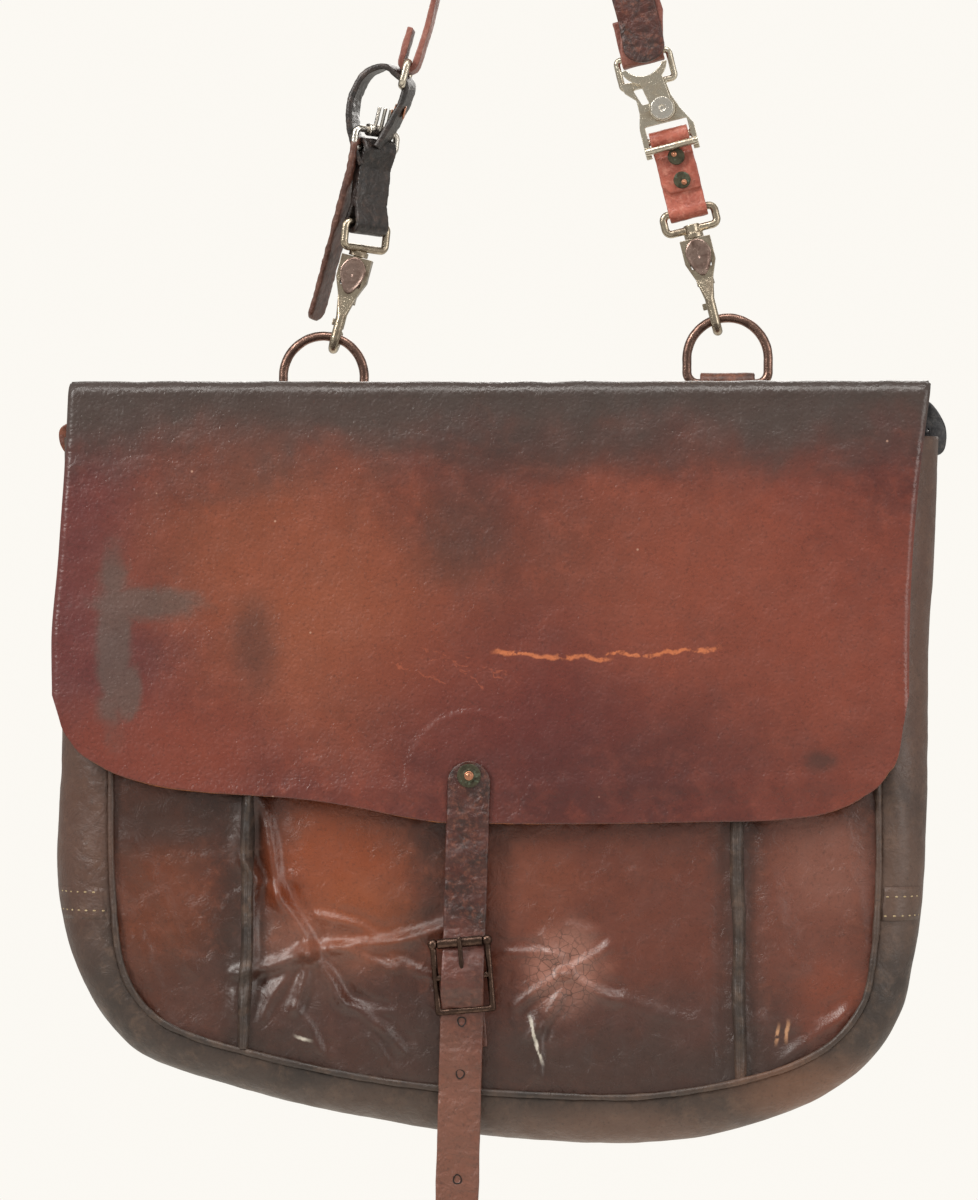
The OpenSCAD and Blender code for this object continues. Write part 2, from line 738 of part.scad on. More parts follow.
lower_rivet_z = [73.5, 86];
module lower_strap_rivets() {
    color("mediumaquamarine") on_right()
        for (z = lower_rivet_z)
            rivet(1, z, 3.2, -5.4, 1.3, 4.4, 0.8);
}

// Cast frame of the quick release: a window for the lower strap, a bar in
// front of it, a plate that holds the pivot and a wire loop for the sling
release_x = -3.5;
sling_bar_z = 141;
pivot_z = 111.7;
module quick_release_frame() {
    color("dimgray") on_right()
        difference() {
            union() {
                rotate([90, 0, 0]) linear_extrude(3.6, center = true)
                    difference() {
                        polygon([[-14, 88], [14, 88], [14, 101], [9, 110], [6, 118], [5, 127],
                            [-17, 129], [-17, 124], [-12, 119], [-12, 112], [-14, 104]]);
                        translate([-11, 84]) square([22, 20.5]);
                        polygon([[-9.5, 116], [-6, 116], [-6, 124], [-12.5, 125]]);
                    }
                translate([-13, 0, bar_a_z]) rotate([0, 90, 0]) cylinder(r = 1.8, h = 26);
                for (s = [-1, 1])
                    translate([s * 12.5 - 1.5, bar_b_y, bar_b_z - 2]) cube([3, -bar_b_y, 4]);
                translate([-14, bar_b_y, bar_b_z]) rotate([0, 90, 0]) cylinder(r = 1.9, h = 28);
                translate([release_x, 0, 0])
                    wire_loop([[-13.8, 126], [13.8, 126], [13.8, sling_bar_z], [-13.8, sling_bar_z]],
                        [2.2, 2.2, 2.2, 2.2], 1.7);
                translate([0, 0, pivot_z]) rotate([90, 0, 0]) cylinder(r = 4.6, h = -lever_y - 0.2);
            }
            translate([0, 20, pivot_z]) rotate([90, 0, 0]) cylinder(r = 2 + play, h = 40);
        }
}

lever_y = -5.8;
lever_t = 1.8;
module quick_release_lever() {
    color("silver") on_right()
        difference() {
            translate([0, lever_y, 0]) rotate([90, 0, 0]) linear_extrude(lever_t)
                difference() {
                    union() {
                        translate([0, pivot_z]) circle(r = 6.6);
                        polygon([[-5, pivot_z], [5.6, pivot_z], [4, 128], [-8.5, 128]]);
                        translate([release_x - 0.5, 138]) intersection() {
                            circle(r = 12.6);
                            translate([-13, -13]) square([26, 10]);
                        }
                    }
                    translate([release_x - 0.5, 141]) circle(r = 11.2);
                }
            translate([0, 20, pivot_z]) rotate([90, 0, 0]) cylinder(r = 2 + play, h = 40);
        }
}

module quick_release_rivet() {
    color("silver") on_right()
        difference() {
            rivet(0, pivot_z, 2.1, lever_y - lever_t - 0.3, 2, 5.8, 1.2);
            translate([0, lever_y - lever_t, pivot_z]) rotate([90, 0, 0]) cylinder(r = 1.6, h = 10);
        }
}

// A flat ribbon through 3-D points; each point carries the ribbon's width direction
function unit3(v) = v / norm(v);
function ribbon_row(p, d, i, w, t) =
    let (a = p[max(i - 1, 0)], b = p[min(i + 1, len(p) - 1)], tangent = unit3(b - a),
        side = unit3(d[i] - tangent * (d[i] * tangent)), flat = cross(tangent, side))
    [p[i] + side * w / 2 + flat * t / 2, p[i] - side * w / 2 + flat * t / 2,
        p[i] - side * w / 2 - flat * t / 2, p[i] + side * w / 2 - flat * t / 2];
module ribbon(p, d, w, t) {
    skin([for (i = [0 : len(p) - 1]) ribbon_row(p, d, i, w, t)]);
}

// Points in the frames of the two chains, turned into the bag's frame
function left_point(p) = [grip_left[0] + p[0] * cos(lean_left) + p[2] * sin(lean_left), p[1],
    grip_left[1] - p[0] * sin(lean_left) + p[2] * cos(lean_left)];
function right_point(p) = [grip_right[0] + p[0] * cos(lean_right) - p[2] * sin(lean_right), p[1],
    grip_right[1] + p[0] * sin(lean_right) + p[2] * cos(lean_right)];

// Strap link: an oval loop seen edge-on that joins the sling to the leather loop
module strap_link() {
    w = sling_w / 2 + 3.4;
    color("silver") on_left() translate([0, 0, link_z - link_half]) rotate([0, 0, 90])
        wire_loop([[-w, 0], [w, 0], [w, 2 * link_half], [-w, 2 * link_half]], [3, 3, 3, 3], 1.9);
}

// Leather loop between the strap link and the adjuster's bar
loop_t = 3.2;
module adjuster_loop() {
    top = link_z - link_half;
    r = 1.9 + gap + loop_t / 2;
    path = concat([[2.5, fork_bar_z + 7], [1.4, 125]], arc([0, top], r, -10, 190, 12),
        [[-13, top - 4], [-19.5, top - 13], [-21.5, fork_bar_z + 17], [-19, fork_bar_z + 9]]);
    color("#1f1b1b") on_left() difference() {
        rotate([90, 0, 0]) linear_extrude(sling_w - 1, center = true) polygon(strip(path, loop_t));
        translate([-8, 0, 121]) rotate([0, 90, 0]) cylinder(r = 1.6, h = 16);
    }
}

module adjuster_loop_rivet() {
    color("silver") on_left() rotate([0, 0, 90])
        rivet(0, 121, 0.6, -3.6, 1.4, 3.6, 0.8);
}

module adjuster_frame() {
    w = sling_w / 2 + 3;
    color("darkkhaki") on_left_strap() translate([0, 0, fork_bar_z - 6])
        wire_loop([[-w, 0], [w, 0], [w, frame_h], [-w, frame_h]], [3, 3, 3, 3], 1.8);
}

module adjuster_fork() {
    z = fork_bar_z - 6 + frame_h;
    y = -5.4;
    color("silver") on_left_strap() union() {
        translate([-6, 0, z]) rotate([0, 90, 0]) difference() {
            cylinder(r = 3.2, h = 12);
            translate([0, 0, -1]) cylinder(r = 1.8 + play, h = 14);
        }
        for (i = [-1 : 1])
            rod([i * 4, -2.95, z], [i * 4, y, z + 12], 1);
    }
}

// Sling: round the strap link, up over the peg and down to the quick release
wrap_r = peg_r + gap + sling_t / 2;
link_top = left_point([0, 0, link_z + link_half]);
bar_top = right_point([release_x, 0, sling_bar_z]);
peg = [hang_x, 0, hang_z];
function tangent_angle(p, side) = let (v = [p[0] - peg[0], p[2] - peg[2]])
    atan2(v[1], v[0]) + side * acos(wrap_r / norm(v));
wrap_start = tangent_angle(link_top, -1);
wrap_end = tangent_angle(bar_top, 1);
link_r = 1.9 + gap + sling_t / 2;
bar_r = 1.7 + gap + sling_t / 2;
function peg_point(a) = [peg[0] + wrap_r * cos(a), 0, peg[2] + wrap_r * sin(a)];
function mix(a, b, f) = a + (b - a) * f;
left_up = peg_point(wrap_start);
right_up = peg_point(wrap_end);
left_fold = [for (i = [0 : 6]) left_point([link_r * cos(180 + 30 * i), 0, link_z + link_half + link_r * sin(180 + 30 * i)])];
right_steps = 12;
sling_points = concat([left_point([-link_r + 0.2, 0, link_z + 24])], left_fold,
    [mix(left_fold[6], left_up, 0.12) + [1.4, 0, 0]],
    [for (i = [0 : 12]) peg_point(wrap_start - (wrap_start - wrap_end + (wrap_end > wrap_start ? 360 : 0)) * i / 12)],
    [for (i = [1 : right_steps]) mix(right_up, bar_top + [0, -bar_r, 22], i / right_steps)],
    [for (i = [0 : 6]) right_point([release_x, -bar_r * cos(30 * i), sling_bar_z - bar_r * sin(30 * i)])],
    [right_point([release_x, bar_r, sling_bar_z + 20])]);
sling_dirs = [for (i = [0 : len(sling_points) - 1])
    let (k = i - 21, a = 90 * min(max(k / right_steps, 0), 1)) [sin(a) * cos(lean_right), cos(a), sin(a) * sin(lean_right)]];

module shoulder_strap() {
    color("rosybrown") placed() ribbon(sling_points, sling_dirs, sling_w, sling_t);
}

// The strap's free tail, hanging outside the leather loop
tail_points = [[-4, -6, 4], [-8, -8, -26], [-16, -9, -62], [-22, -9, -98]];
module strap_tail() {
    top = left_point([-27, 0, fork_bar_z + 4]);
    color("rosybrown") placed() ribbon([for (p = tail_points) top + p + [4, 0, 0]],
        [for (p = tail_points) [0.45, 1, 0]], sling_w - 4, 2.6);
}

back_panel();
front_panel_left();
front_panel_centre();
front_panel_right();
front_seam_left();
front_seam_right();
front_welt();
gusset_left();
gusset_right();
gusset_bottom();
gusset_band_left();
gusset_band_right();
ring_chape_left();
ring_chape_right();
ring_chape_rivets();
buckle_chape();
buckle_chape_rivet();
flap_top();
flap_front();
closing_strap_rivet();
closing_strap();
buckle_frame();
buckle_roller();
buckle_prong();
d_ring_left();
d_ring_right();
snap_hook_left();
snap_hook_right();
snap_gate_left();
snap_gate_right();
snap_gate_pin_left();
snap_gate_pin_right();
swivel_eye_left();
swivel_loop_right();
lower_strap_left();
lower_strap_right();
lower_strap_rivets();
quick_release_frame();
quick_release_lever();
quick_release_rivet();
adjuster_loop();
adjuster_loop_rivet();
adjuster_frame();
adjuster_fork();
strap_link();
strap_tail();
shoulder_strap();
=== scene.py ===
import json
import math
import bpy
import numpy as np
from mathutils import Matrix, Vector

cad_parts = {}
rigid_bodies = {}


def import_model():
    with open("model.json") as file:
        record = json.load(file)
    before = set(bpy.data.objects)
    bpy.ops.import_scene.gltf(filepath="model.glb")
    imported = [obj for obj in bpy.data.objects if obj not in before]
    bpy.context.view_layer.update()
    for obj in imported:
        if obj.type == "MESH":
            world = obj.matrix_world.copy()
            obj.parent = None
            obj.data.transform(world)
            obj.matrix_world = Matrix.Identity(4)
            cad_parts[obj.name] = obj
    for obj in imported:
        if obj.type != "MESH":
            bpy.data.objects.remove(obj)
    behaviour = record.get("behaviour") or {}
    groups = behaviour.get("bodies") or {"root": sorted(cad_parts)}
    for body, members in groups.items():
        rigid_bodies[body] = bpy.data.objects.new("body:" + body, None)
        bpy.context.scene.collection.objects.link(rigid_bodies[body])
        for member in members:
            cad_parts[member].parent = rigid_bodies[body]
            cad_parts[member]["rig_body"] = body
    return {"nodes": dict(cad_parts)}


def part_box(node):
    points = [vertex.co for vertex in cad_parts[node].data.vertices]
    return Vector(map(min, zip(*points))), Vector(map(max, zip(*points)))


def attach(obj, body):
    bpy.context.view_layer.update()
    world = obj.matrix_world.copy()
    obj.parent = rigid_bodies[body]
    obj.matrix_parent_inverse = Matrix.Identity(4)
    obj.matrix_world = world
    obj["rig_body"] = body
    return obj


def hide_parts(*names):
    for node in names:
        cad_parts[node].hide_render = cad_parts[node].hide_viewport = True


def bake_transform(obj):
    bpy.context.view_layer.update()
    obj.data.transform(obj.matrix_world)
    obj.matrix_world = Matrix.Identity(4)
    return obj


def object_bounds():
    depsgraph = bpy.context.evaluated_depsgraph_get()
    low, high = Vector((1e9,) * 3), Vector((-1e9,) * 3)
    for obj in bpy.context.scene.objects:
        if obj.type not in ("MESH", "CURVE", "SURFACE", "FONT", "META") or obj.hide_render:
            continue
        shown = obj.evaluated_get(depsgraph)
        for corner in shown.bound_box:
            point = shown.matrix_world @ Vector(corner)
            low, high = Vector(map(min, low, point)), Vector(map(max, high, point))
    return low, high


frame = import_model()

low0, high0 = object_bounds()
# the peg's place over the bag's own zero, in millimetres
HANG_X, HANG_Z = 8.0, 702.0
ORIGIN = np.array([HANG_X, 0.0, HANG_Z])
RNG = np.random.RandomState(7)


def row(p):
    """Bag millimetres (x, y, z from the body's lowest point) to the row frame in metres."""
    p = np.asarray(p, float)
    return (p - ORIGIN) / 1000.0


def srgb(r, g, b):
    out = []
    for c in (r, g, b):
        c = c / 255.0
        out.append(c / 12.92 if c <= 0.04045 else ((c + 0.055) / 1.055) ** 2.4)
    return tuple(out) + (1.0,)


# ---------------------------------------------------------------- camera
cam_data = bpy.data.cameras.new("camera")
cam = bpy.data.objects.new("camera", cam_data)
bpy.context.scene.collection.objects.link(cam)
bpy.context.scene.camera = cam
cam_data.sensor_fit = "VERTICAL"
cam_data.sensor_height = 24.0
CAM_DIST, CAM_AZ = 3.0, 3.0
cam_data.lens = 24.0 * CAM_DIST / 0.6
target = Vector(row([-0.5, -90, 270]))
a = math.radians(CAM_AZ)
cam.location = target + Vector((math.sin(a), -math.cos(a), 0.01)) * CAM_DIST
cam.rotation_euler = (target - cam.location).to_track_quat("-Z", "Y").to_euler()
cam_data.dof.use_dof = False


# ---------------------------------------------------------------- noise and meshes
def vnoise(p, seed=0):
    i = np.floor(p).astype(np.int64)
    f = p - i
    f = f * f * (3 - 2 * f)

    def h(ix, iy, iz):
        n = (ix * 374761393 + iy * 668265263 + iz * 1274126177 + seed * 974711) & 0xFFFFFFFF
        n = ((n ^ (n >> 13)) * 1103515245) & 0xFFFFFFFF
        n = ((n ^ (n >> 16)) * 747796405) & 0xFFFFFFFF
        return ((n >> 8) & 0xFFFF) / 32767.5 - 1.0

    out = np.zeros(len(p))
    for dx in (0, 1):
        for dy in (0, 1):
            for dz in (0, 1):
                w = ((f[:, 0] if dx else 1 - f[:, 0]) * (f[:, 1] if dy else 1 - f[:, 1])
                     * (f[:, 2] if dz else 1 - f[:, 2]))
                out += w * h(i[:, 0] + dx, i[:, 1] + dy, i[:, 2] + dz)
    return out


def fbm(p, size, octaves=4, seed=0):
    """Smooth noise with features of that size, for points in millimetres."""
    shape = p.shape[:-1]
    q = p.reshape(-1, 3) / size
    total, amp = np.zeros(len(q)), 1.0
    for k in range(octaves):
        total += amp * vnoise(q * 2.0 ** k + 13.7 * k, seed + k)
        amp *= 0.5
    return total.reshape(shape)


def smooth(t):
    t = np.clip(t, 0, 1)
    return t * t * (3 - 2 * t)


def spline(points, x):
    """Smooth curve through control points (a, b), read at a = x."""
    pts = np.asarray(points, float)
    d = np.gradient(pts[:, 1], pts[:, 0])
    k = np.clip(np.searchsorted(pts[:, 0], x) - 1, 0, len(pts) - 2)
    h = pts[k + 1, 0] - pts[k, 0]
    t = np.clip((x - pts[k, 0]) / h, 0, 1)
    return ((2 * t ** 3 - 3 * t ** 2 + 1) * pts[k, 1] + (t ** 3 - 2 * t ** 2 + t) * h * d[k]
            + (-2 * t ** 3 + 3 * t ** 2) * pts[k + 1, 1] + (t ** 3 - t ** 2) * h * d[k + 1])


def lengths(path):
    """Distance of each point of a path from its first one."""
    return np.concatenate([[0], np.cumsum(np.linalg.norm(np.diff(path, axis=0), axis=1))])


def path_through(points, n):
    """n points evenly spaced along a smooth curve through 3-D points."""
    pts = np.asarray(points, float)
    s = lengths(pts)
    u = np.linspace(0, s[-1], n * 6)
    fine = np.stack([spline(np.stack([s, pts[:, k]], 1), u) for k in range(pts.shape[1])], 1)
    s = lengths(fine)
    v = np.linspace(0, s[-1], n)
    return np.stack([np.interp(v, s, fine[:, k]) for k in range(pts.shape[1])], 1)


def new_object(name, data):
    obj = bpy.data.objects.new(name, data)
    bpy.context.scene.collection.objects.link(obj)
    return obj


def keep_rest(mesh, co):
    """Store the points' places at rest, which every material is laid out on."""
    attr = mesh.attributes.new("rest", "FLOAT_VECTOR", "POINT")
    attr.data.foreach_set("vector", co.astype(np.float32).ravel())


def add_mesh(name, verts_mm, faces):
    mesh = bpy.data.meshes.new(name)
    v = row(verts_mm)
    mesh.from_pydata(v.tolist(), [], [list(f) for f in faces])
    mesh.update()
    keep_rest(mesh, v)
    mesh.polygons.foreach_set("use_smooth", [True] * len(mesh.polygons))
    return new_object(name.replace(" ", "_"), mesh)


def quads(m, n, wrap, flip=False, base=0):
    """Faces over m rows of n points, numbered from base; wrap closes each row into a ring."""
    faces = []
    for i in range(m - 1):
        for j in range(n if wrap else n - 1):
            a, b, k = base + i * n, base + (i + 1) * n, (j + 1) % n
            f = (a + j, b + j, b + k, a + k)
            faces.append(f[::-1] if flip else f)
    return faces


def grid_mesh(name, P, wrap_v=False, caps=False, flip=False):
    """A mesh over a grid of points (m, n, 3); caps closes the two ends of a wrapped one."""
    m, n = P.shape[:2]
    faces = quads(m, n, wrap_v, flip)
    if caps:
        faces += [tuple(range(n)), tuple(range(m * n - 1, (m - 1) * n - 1, -1))]
    return add_mesh(name, P.reshape(-1, 3), faces)


def thicken(obj, t_mm, offset=-1.0, rim=None):
    """Give a sheet its thickness; rim is the material number of its cut edge."""
    mod = obj.modifiers.new("thick", "SOLIDIFY")
    mod.thickness = t_mm / 1000.0
    mod.offset = offset
    mod.use_even_offset = False
    if rim is not None:
        mod.material_offset_rim = rim
    return obj


def rounded(e, least):
    """Half width of a round end at the share e of its radius, no less than sqrt(least)."""
    return np.sqrt(np.clip(1 - (1 - e) ** 2, least, 1))


def strap(name, path, side, w, t, seed=0, wrinkle=0.25, width_fn=None, across=12, edge=0.8):
    """A leather strap along path (n, 3) with its width along side (n, 3): closed, with
    rounded edges, a slightly domed face and small wrinkles across it."""
    path, side = np.asarray(path, float), np.asarray(side, float)
    n = len(path)
    if side.ndim == 1:
        side = np.tile(side, (n, 1))
    tan = np.gradient(path, axis=0)
    tan /= np.linalg.norm(tan, axis=1)[:, None]
    side = side - tan * np.sum(side * tan, 1)[:, None]
    side /= np.linalg.norm(side, axis=1)[:, None]
    flat = np.cross(tan, side)
    s = lengths(path)
    width = np.full(n, float(w)) if width_fn is None else width_fn(s / s[-1], w)
    prof = []
    for sign in (1, -1):
        prof += [(sign * (-1 + 2 * k / across), sign, 0) for k in range(across + 1)]
        turns = [sign * math.pi / 2 - math.pi * k / 4 for k in range(1, 4)]
        prof += [(sign, math.sin(b), math.cos(b)) for b in turns]
    prof = np.array(prof)
    hw = width / 2 - edge
    u = prof[:, 0][None, :] * hw[:, None] + prof[:, 2][None, :] * edge
    v = prof[:, 1][None, :] * t / 2 * np.ones((n, 1))
    v = v * (1 - 0.10 * np.abs(prof[:, 0][None, :]) ** 6)
    P = path[:, None, :] + side[:, None, :] * u[..., None] + flat[:, None, :] * v[..., None]
    q = np.stack([s[:, None] + 0 * u, u * 0.45, v * 0 + seed * 31.0], -1)
    bump = wrinkle * fbm(q, 2.2, 3, seed) + wrinkle * 1.2 * fbm(q * [1, 0.3, 1], 9.0, 2, seed + 5)
    P += flat[:, None, :] * (bump * np.sign(v))[..., None] * 0.5
    wob = 0.35 * fbm(np.stack([s, s * 0 + seed * 7.0, s * 0], -1), 14.0, 3, seed + 9)
    P += side[:, None, :] * (wob[:, None] * np.sign(u))[..., None] * 0.6
    return grid_mesh(name, P, wrap_v=True, caps=True)


def tube(name, path, r, sides=10):
    """A closed tube along path (n, 3); r may differ from point to point."""
    path = np.asarray(path, float)
    tan = np.gradient(path, axis=0)
    tan /= np.linalg.norm(tan, axis=1)[:, None] + 1e-12
    ref = np.array([0.31, 0.21, 0.93])
    nrm = np.cross(tan, ref)
    nrm /= np.linalg.norm(nrm, axis=1)[:, None]
    bi = np.cross(tan, nrm)
    r = np.broadcast_to(np.asarray(r, float), (len(path),))
    ang = np.linspace(0, 2 * math.pi, sides, endpoint=False)
    P = path[:, None, :] + r[:, None, None] * (np.cos(ang)[None, :, None] * nrm[:, None, :]
                                               + np.sin(ang)[None, :, None] * bi[:, None, :])
    return grid_mesh(name, P, wrap_v=True, caps=True)


# ---------------------------------------------------------------- materials
class Mat:
    """A procedural material built from the rest coordinates of each piece."""

    def __init__(self, name, slot=None):
        self.m = bpy.data.materials.new(name)
        self.m.use_nodes = True
        self.t = self.m.node_tree
        self.t.nodes.clear()
        self.m["finish_slot"] = slot
        out = self.new("ShaderNodeOutputMaterial")
        self.b = self.new("ShaderNodeBsdfPrincipled")
        self.t.links.new(self.b.outputs["BSDF"], out.inputs["Surface"])
        self.rest = self.attr("rest")

    def new(self, kind, **props):
        n = self.t.nodes.new(kind)
        for k, v in props.items():
            setattr(n, k, v)
        return n

    def put(self, sock, v):
        if isinstance(v, bpy.types.NodeSocket):
            self.t.links.new(v, sock)
        elif isinstance(v, (tuple, list)) and sock.type == "RGBA" and len(v) == 3:
            sock.default_value = tuple(v) + (1.0,)
        else:
            sock.default_value = v

    def attr(self, name):
        return self.new("ShaderNodeAttribute", attribute_name=name).outputs["Vector"]

    def math(self, op, a, b=None, c=None, clamp=False):
        n = self.new("ShaderNodeMath", operation=op, use_clamp=clamp)
        for k, v in enumerate((a, b, c)):
            if v is not None:
                self.put(n.inputs[k], v)
        return n.outputs[0]

    def vec(self, op, a, b=None):
        n = self.new("ShaderNodeVectorMath", operation=op)
        self.put(n.inputs[0], a)
        if b is not None:
            self.put(n.inputs[1], b)
        return n.outputs["Value"] if op in ("LENGTH", "DOT_PRODUCT", "DISTANCE") else n.outputs["Vector"]

    def scaled(self, v, s):
        return self.vec("MULTIPLY", v, tuple(s))

    def noise(self, mm, detail=4.0, rough=0.55, dist=0.0, coord=None, seed=0.0):
        """Noise with features of about that many millimetres, from 0 to 1."""
        n = self.new("ShaderNodeTexNoise")
        c = self.rest if coord is None else coord
        if seed:
            c = self.vec("ADD", c, (seed, seed * 0.7, seed * 1.3))
        self.put(n.inputs["Vector"], c)
        self.put(n.inputs["Scale"], 1000.0 / mm)
        self.put(n.inputs["Detail"], detail)
        self.put(n.inputs["Roughness"], rough)
        self.put(n.inputs["Distortion"], dist)
        return n.outputs["Fac"]

    def cells(self, mm, feature="F1", coord=None):
        n = self.new("ShaderNodeTexVoronoi", feature=feature)
        self.put(n.inputs["Vector"], self.rest if coord is None else coord)
        self.put(n.inputs["Scale"], 1000.0 / mm)
        self.put(n.inputs["Randomness"], 1.0)
        return n.outputs["Distance"]

    def between(self, v, lo, hi, a=0.0, b=1.0):
        n = self.new("ShaderNodeMapRange", interpolation_type="SMOOTHSTEP")
        for k, x in zip(("Value", "From Min", "From Max", "To Min", "To Max"), (v, lo, hi, a, b)):
            self.put(n.inputs[k], x)
        return n.outputs["Result"]

    def mix(self, fac, a, b):
        n = self.new("ShaderNodeMix", data_type="RGBA", blend_type="MIX")
        self.put(n.inputs["Factor"], fac)
        self.put(n.inputs[6], a)
        self.put(n.inputs[7], b)
        return n.outputs[2]

    def over(self, col, mask, amount, rgb):
        """The colour rgb (0 to 255) laid over col where the mask is."""
        return self.mix(self.mul(mask, amount), col, srgb(*rgb))

    def mul(self, a, b):
        return self.math("MULTIPLY", a, b)

    def add(self, a, b):
        return self.math("ADD", a, b)

    def blob(self, x, z, rx, rz, soft=0.7, wob=0.35, mm=None):
        """A soft-edged, wobbly patch at x, z (bag millimetres), from 0 to 1."""
        cx, _, cz = row([x, 0, z])
        d = self.vec("SUBTRACT", self.rest, (float(cx), 0.0, float(cz)))
        d = self.scaled(d, (1000.0 / rx, 0.0, 1000.0 / rz))
        r = self.vec("LENGTH", d)
        w = self.noise(mm or (rx + rz) * 0.55, 5.0, 0.6, 0.6)
        r = self.add(r, self.math("MULTIPLY_ADD", w, 2 * wob, -wob))
        return self.between(r, 1.0 + soft * 0.5, 1.0 - soft * 0.5)

    def stroke(self, x0, z0, x1, z1, wide, wob=1.0, broken=0.5, mm=6.0):
        """A thin irregular line from x0, z0 to x1, z1 (bag millimetres), from 0 to 1."""
        a, b = row([x0, 0, z0]), row([x1, 0, z1])
        d = b - a
        l = float(np.hypot(d[0], d[2]))
        u = (float(d[0] / l), 0.0, float(d[2] / l))
        v = (-u[2], 0.0, u[0])
        p = self.vec("SUBTRACT", self.rest, (float(a[0]), 0.0, float(a[2])))
        along = self.vec("DOT_PRODUCT", p, u)
        off = self.vec("DOT_PRODUCT", p, v)
        w = self.noise(14.0, 4.0, 0.6)
        off = self.add(off, self.math("MULTIPLY_ADD", w, 0.008 * wob, -0.004 * wob))
        line = self.between(self.math("ABSOLUTE", off), wide / 1000.0, wide / 4000.0)
        ends = self.mul(self.between(along, -0.003, 0.004), self.between(along, l + 0.003, l - 0.004))
        gaps = self.between(self.noise(mm, 3.0, 0.6), broken - 0.06, broken + 0.06)
        return self.mul(self.mul(line, ends), gaps)

    def set(self, **kw):
        names = {"color": "Base Color", "rough": "Roughness", "metal": "Metallic", "coat": "Coat Weight",
                 "coat_rough": "Coat Roughness", "spec": "Specular IOR Level", "normal": "Normal"}
        for k, v in kw.items():
            self.put(self.b.inputs[names[k]], v)
        return self.m

    def bump(self, height, mm, strength=1.0, normal=None):
        n = self.new("ShaderNodeBump")
        self.put(n.inputs["Height"], height)
        self.put(n.inputs["Distance"], mm / 1000.0)
        self.put(n.inputs["Strength"], strength)
        if normal is not None:
            self.put(n.inputs["Normal"], normal)
        return n.outputs["Normal"]

    def z_mm(self):
        n = self.new("ShaderNodeSeparateXYZ")
        self.put(n.inputs[0], self.rest)
        return self.math("MULTIPLY_ADD", n.outputs[2], 1000.0, HANG_Z)

    def x_mm(self):
        n = self.new("ShaderNodeSeparateXYZ")
        self.put(n.inputs[0], self.rest)
        return self.math("MULTIPLY_ADD", n.outputs[0], 1000.0, HANG_X)

    def pores(self, grain_mm, depth, fine, wrinkle):
        """Leather surface: pebbled cells, fine hair pores and longer wrinkles."""
        c = self.rest
        warp = self.new("ShaderNodeTexNoise")
        self.put(warp.inputs["Vector"], c)
        self.put(warp.inputs["Scale"], 160.0)
        wv = self.vec("ADD", c, self.scaled(warp.outputs["Color"], (0.004, 0.004, 0.004)))
        cell = self.cells(grain_mm, "SMOOTH_F1", wv)
        fine_n = self.noise(0.7, 3.0, 0.6, coord=c)
        wr = self.noise(9.0, 6.0, 0.62, 0.8, coord=c)
        n = self.bump(cell, 0.45 * depth)
        n = self.bump(fine_n, 0.25 * fine, 1.0, n)
        return self.bump(wr, 1.6 * wrinkle, 1.0, n)


def leather(name, slot, dark, mid, light, cloud_mm=10, grain=1.6, rough=(0.38, 0.6), depth=0.4,
            wrinkle=0.6, patches=(), spots=0.6, coat=0.1, extra=None):
    """Worn leather in three colours (0 to 255), clouded, speckled and pebbled; patches are
    (x, z, half width, half height, colour, amount) in bag millimetres."""
    m = Mat(name, slot)
    dark, mid, light = srgb(*dark), srgb(*mid), srgb(*light)
    clouds = m.noise(cloud_mm, 6.0, 0.6, 0.4)
    small = m.noise(cloud_mm * 0.22, 6.0, 0.65, 0.3, seed=3.1)
    col = m.mix(m.between(clouds, 0.32, 0.62), dark, mid)
    col = m.mix(m.mul(m.between(small, 0.45, 0.75), 0.65), col, light)
    for x, z, rx, rz, color, amount in patches:
        col = m.over(col, m.blob(x, z, rx, rz, 1.3, 0.5), amount, color)
    if extra:
        col = extra(m, col)
    fine = m.noise(1.6, 4.0, 0.7)
    col = m.mix(m.mul(m.between(fine, 0.52, 0.7), 0.35), col, tuple(c * 0.45 for c in dark[:3]))
    worn = m.mul(m.between(m.noise(5.0, 8.0, 0.72, seed=5.7), 0.62, 0.75), spots)
    col = m.mix(m.mul(worn, 0.35), col, light)
    r = m.between(m.noise(14.0, 6.0, 0.65, seed=9.2), 0.3, 0.7, rough[0], rough[1])
    r = m.add(r, m.mul(worn, 0.15))
    return m.set(color=col, rough=r, coat=coat, coat_rough=0.32, spec=0.5,
                 normal=m.pores(grain, depth, 0.12, wrinkle))


def metal(name, slot, base, dark, rough, tarnish, tint=None, tint_amount=0.0):
    """Metal that is base where rubbed and dark where tarnished, with a bloom of tint if given."""
    m = Mat(name, slot)
    base, dark = srgb(*base), srgb(*dark)
    t = m.between(m.noise(7.0, 8.0, 0.68, 0.5), 0.38, 0.68)
    speck = m.between(m.noise(1.3, 6.0, 0.7), 0.55, 0.72)
    col = m.mix(m.mul(t, tarnish), base, dark)
    col = m.mix(m.mul(speck, 0.6 * tarnish), col, tuple(c * 0.5 for c in dark[:3]))
    if tint is not None:
        g = m.mul(m.between(m.noise(4.5, 8.0, 0.75, seed=2.2), 0.52, 0.66), tint_amount)
        col = m.mix(g, col, srgb(*tint))
        m.set(metal=m.between(g, 0.1, 0.6, 0.95, 0.15))
    else:
        m.set(metal=m.between(speck, 0.0, 1.0, 1.0, 0.82))
    r = m.add(m.between(t, 0.0, 1.0, rough[0], rough[1]), m.mul(speck, 0.18))
    scr = m.noise(2.5, 5.0, 0.6, coord=m.scaled(m.rest, (1.0, 1.0, 7.0)))
    n = m.bump(scr, 0.10)
    return m.set(color=col, rough=r, normal=m.bump(speck, 0.05, 1.0, n))


DARK = (52, 40, 36)
OX = (104, 46, 36)
OX_DEEP = (74, 30, 26)
ORANGE = (142, 76, 48)
PINK = (176, 126, 110)


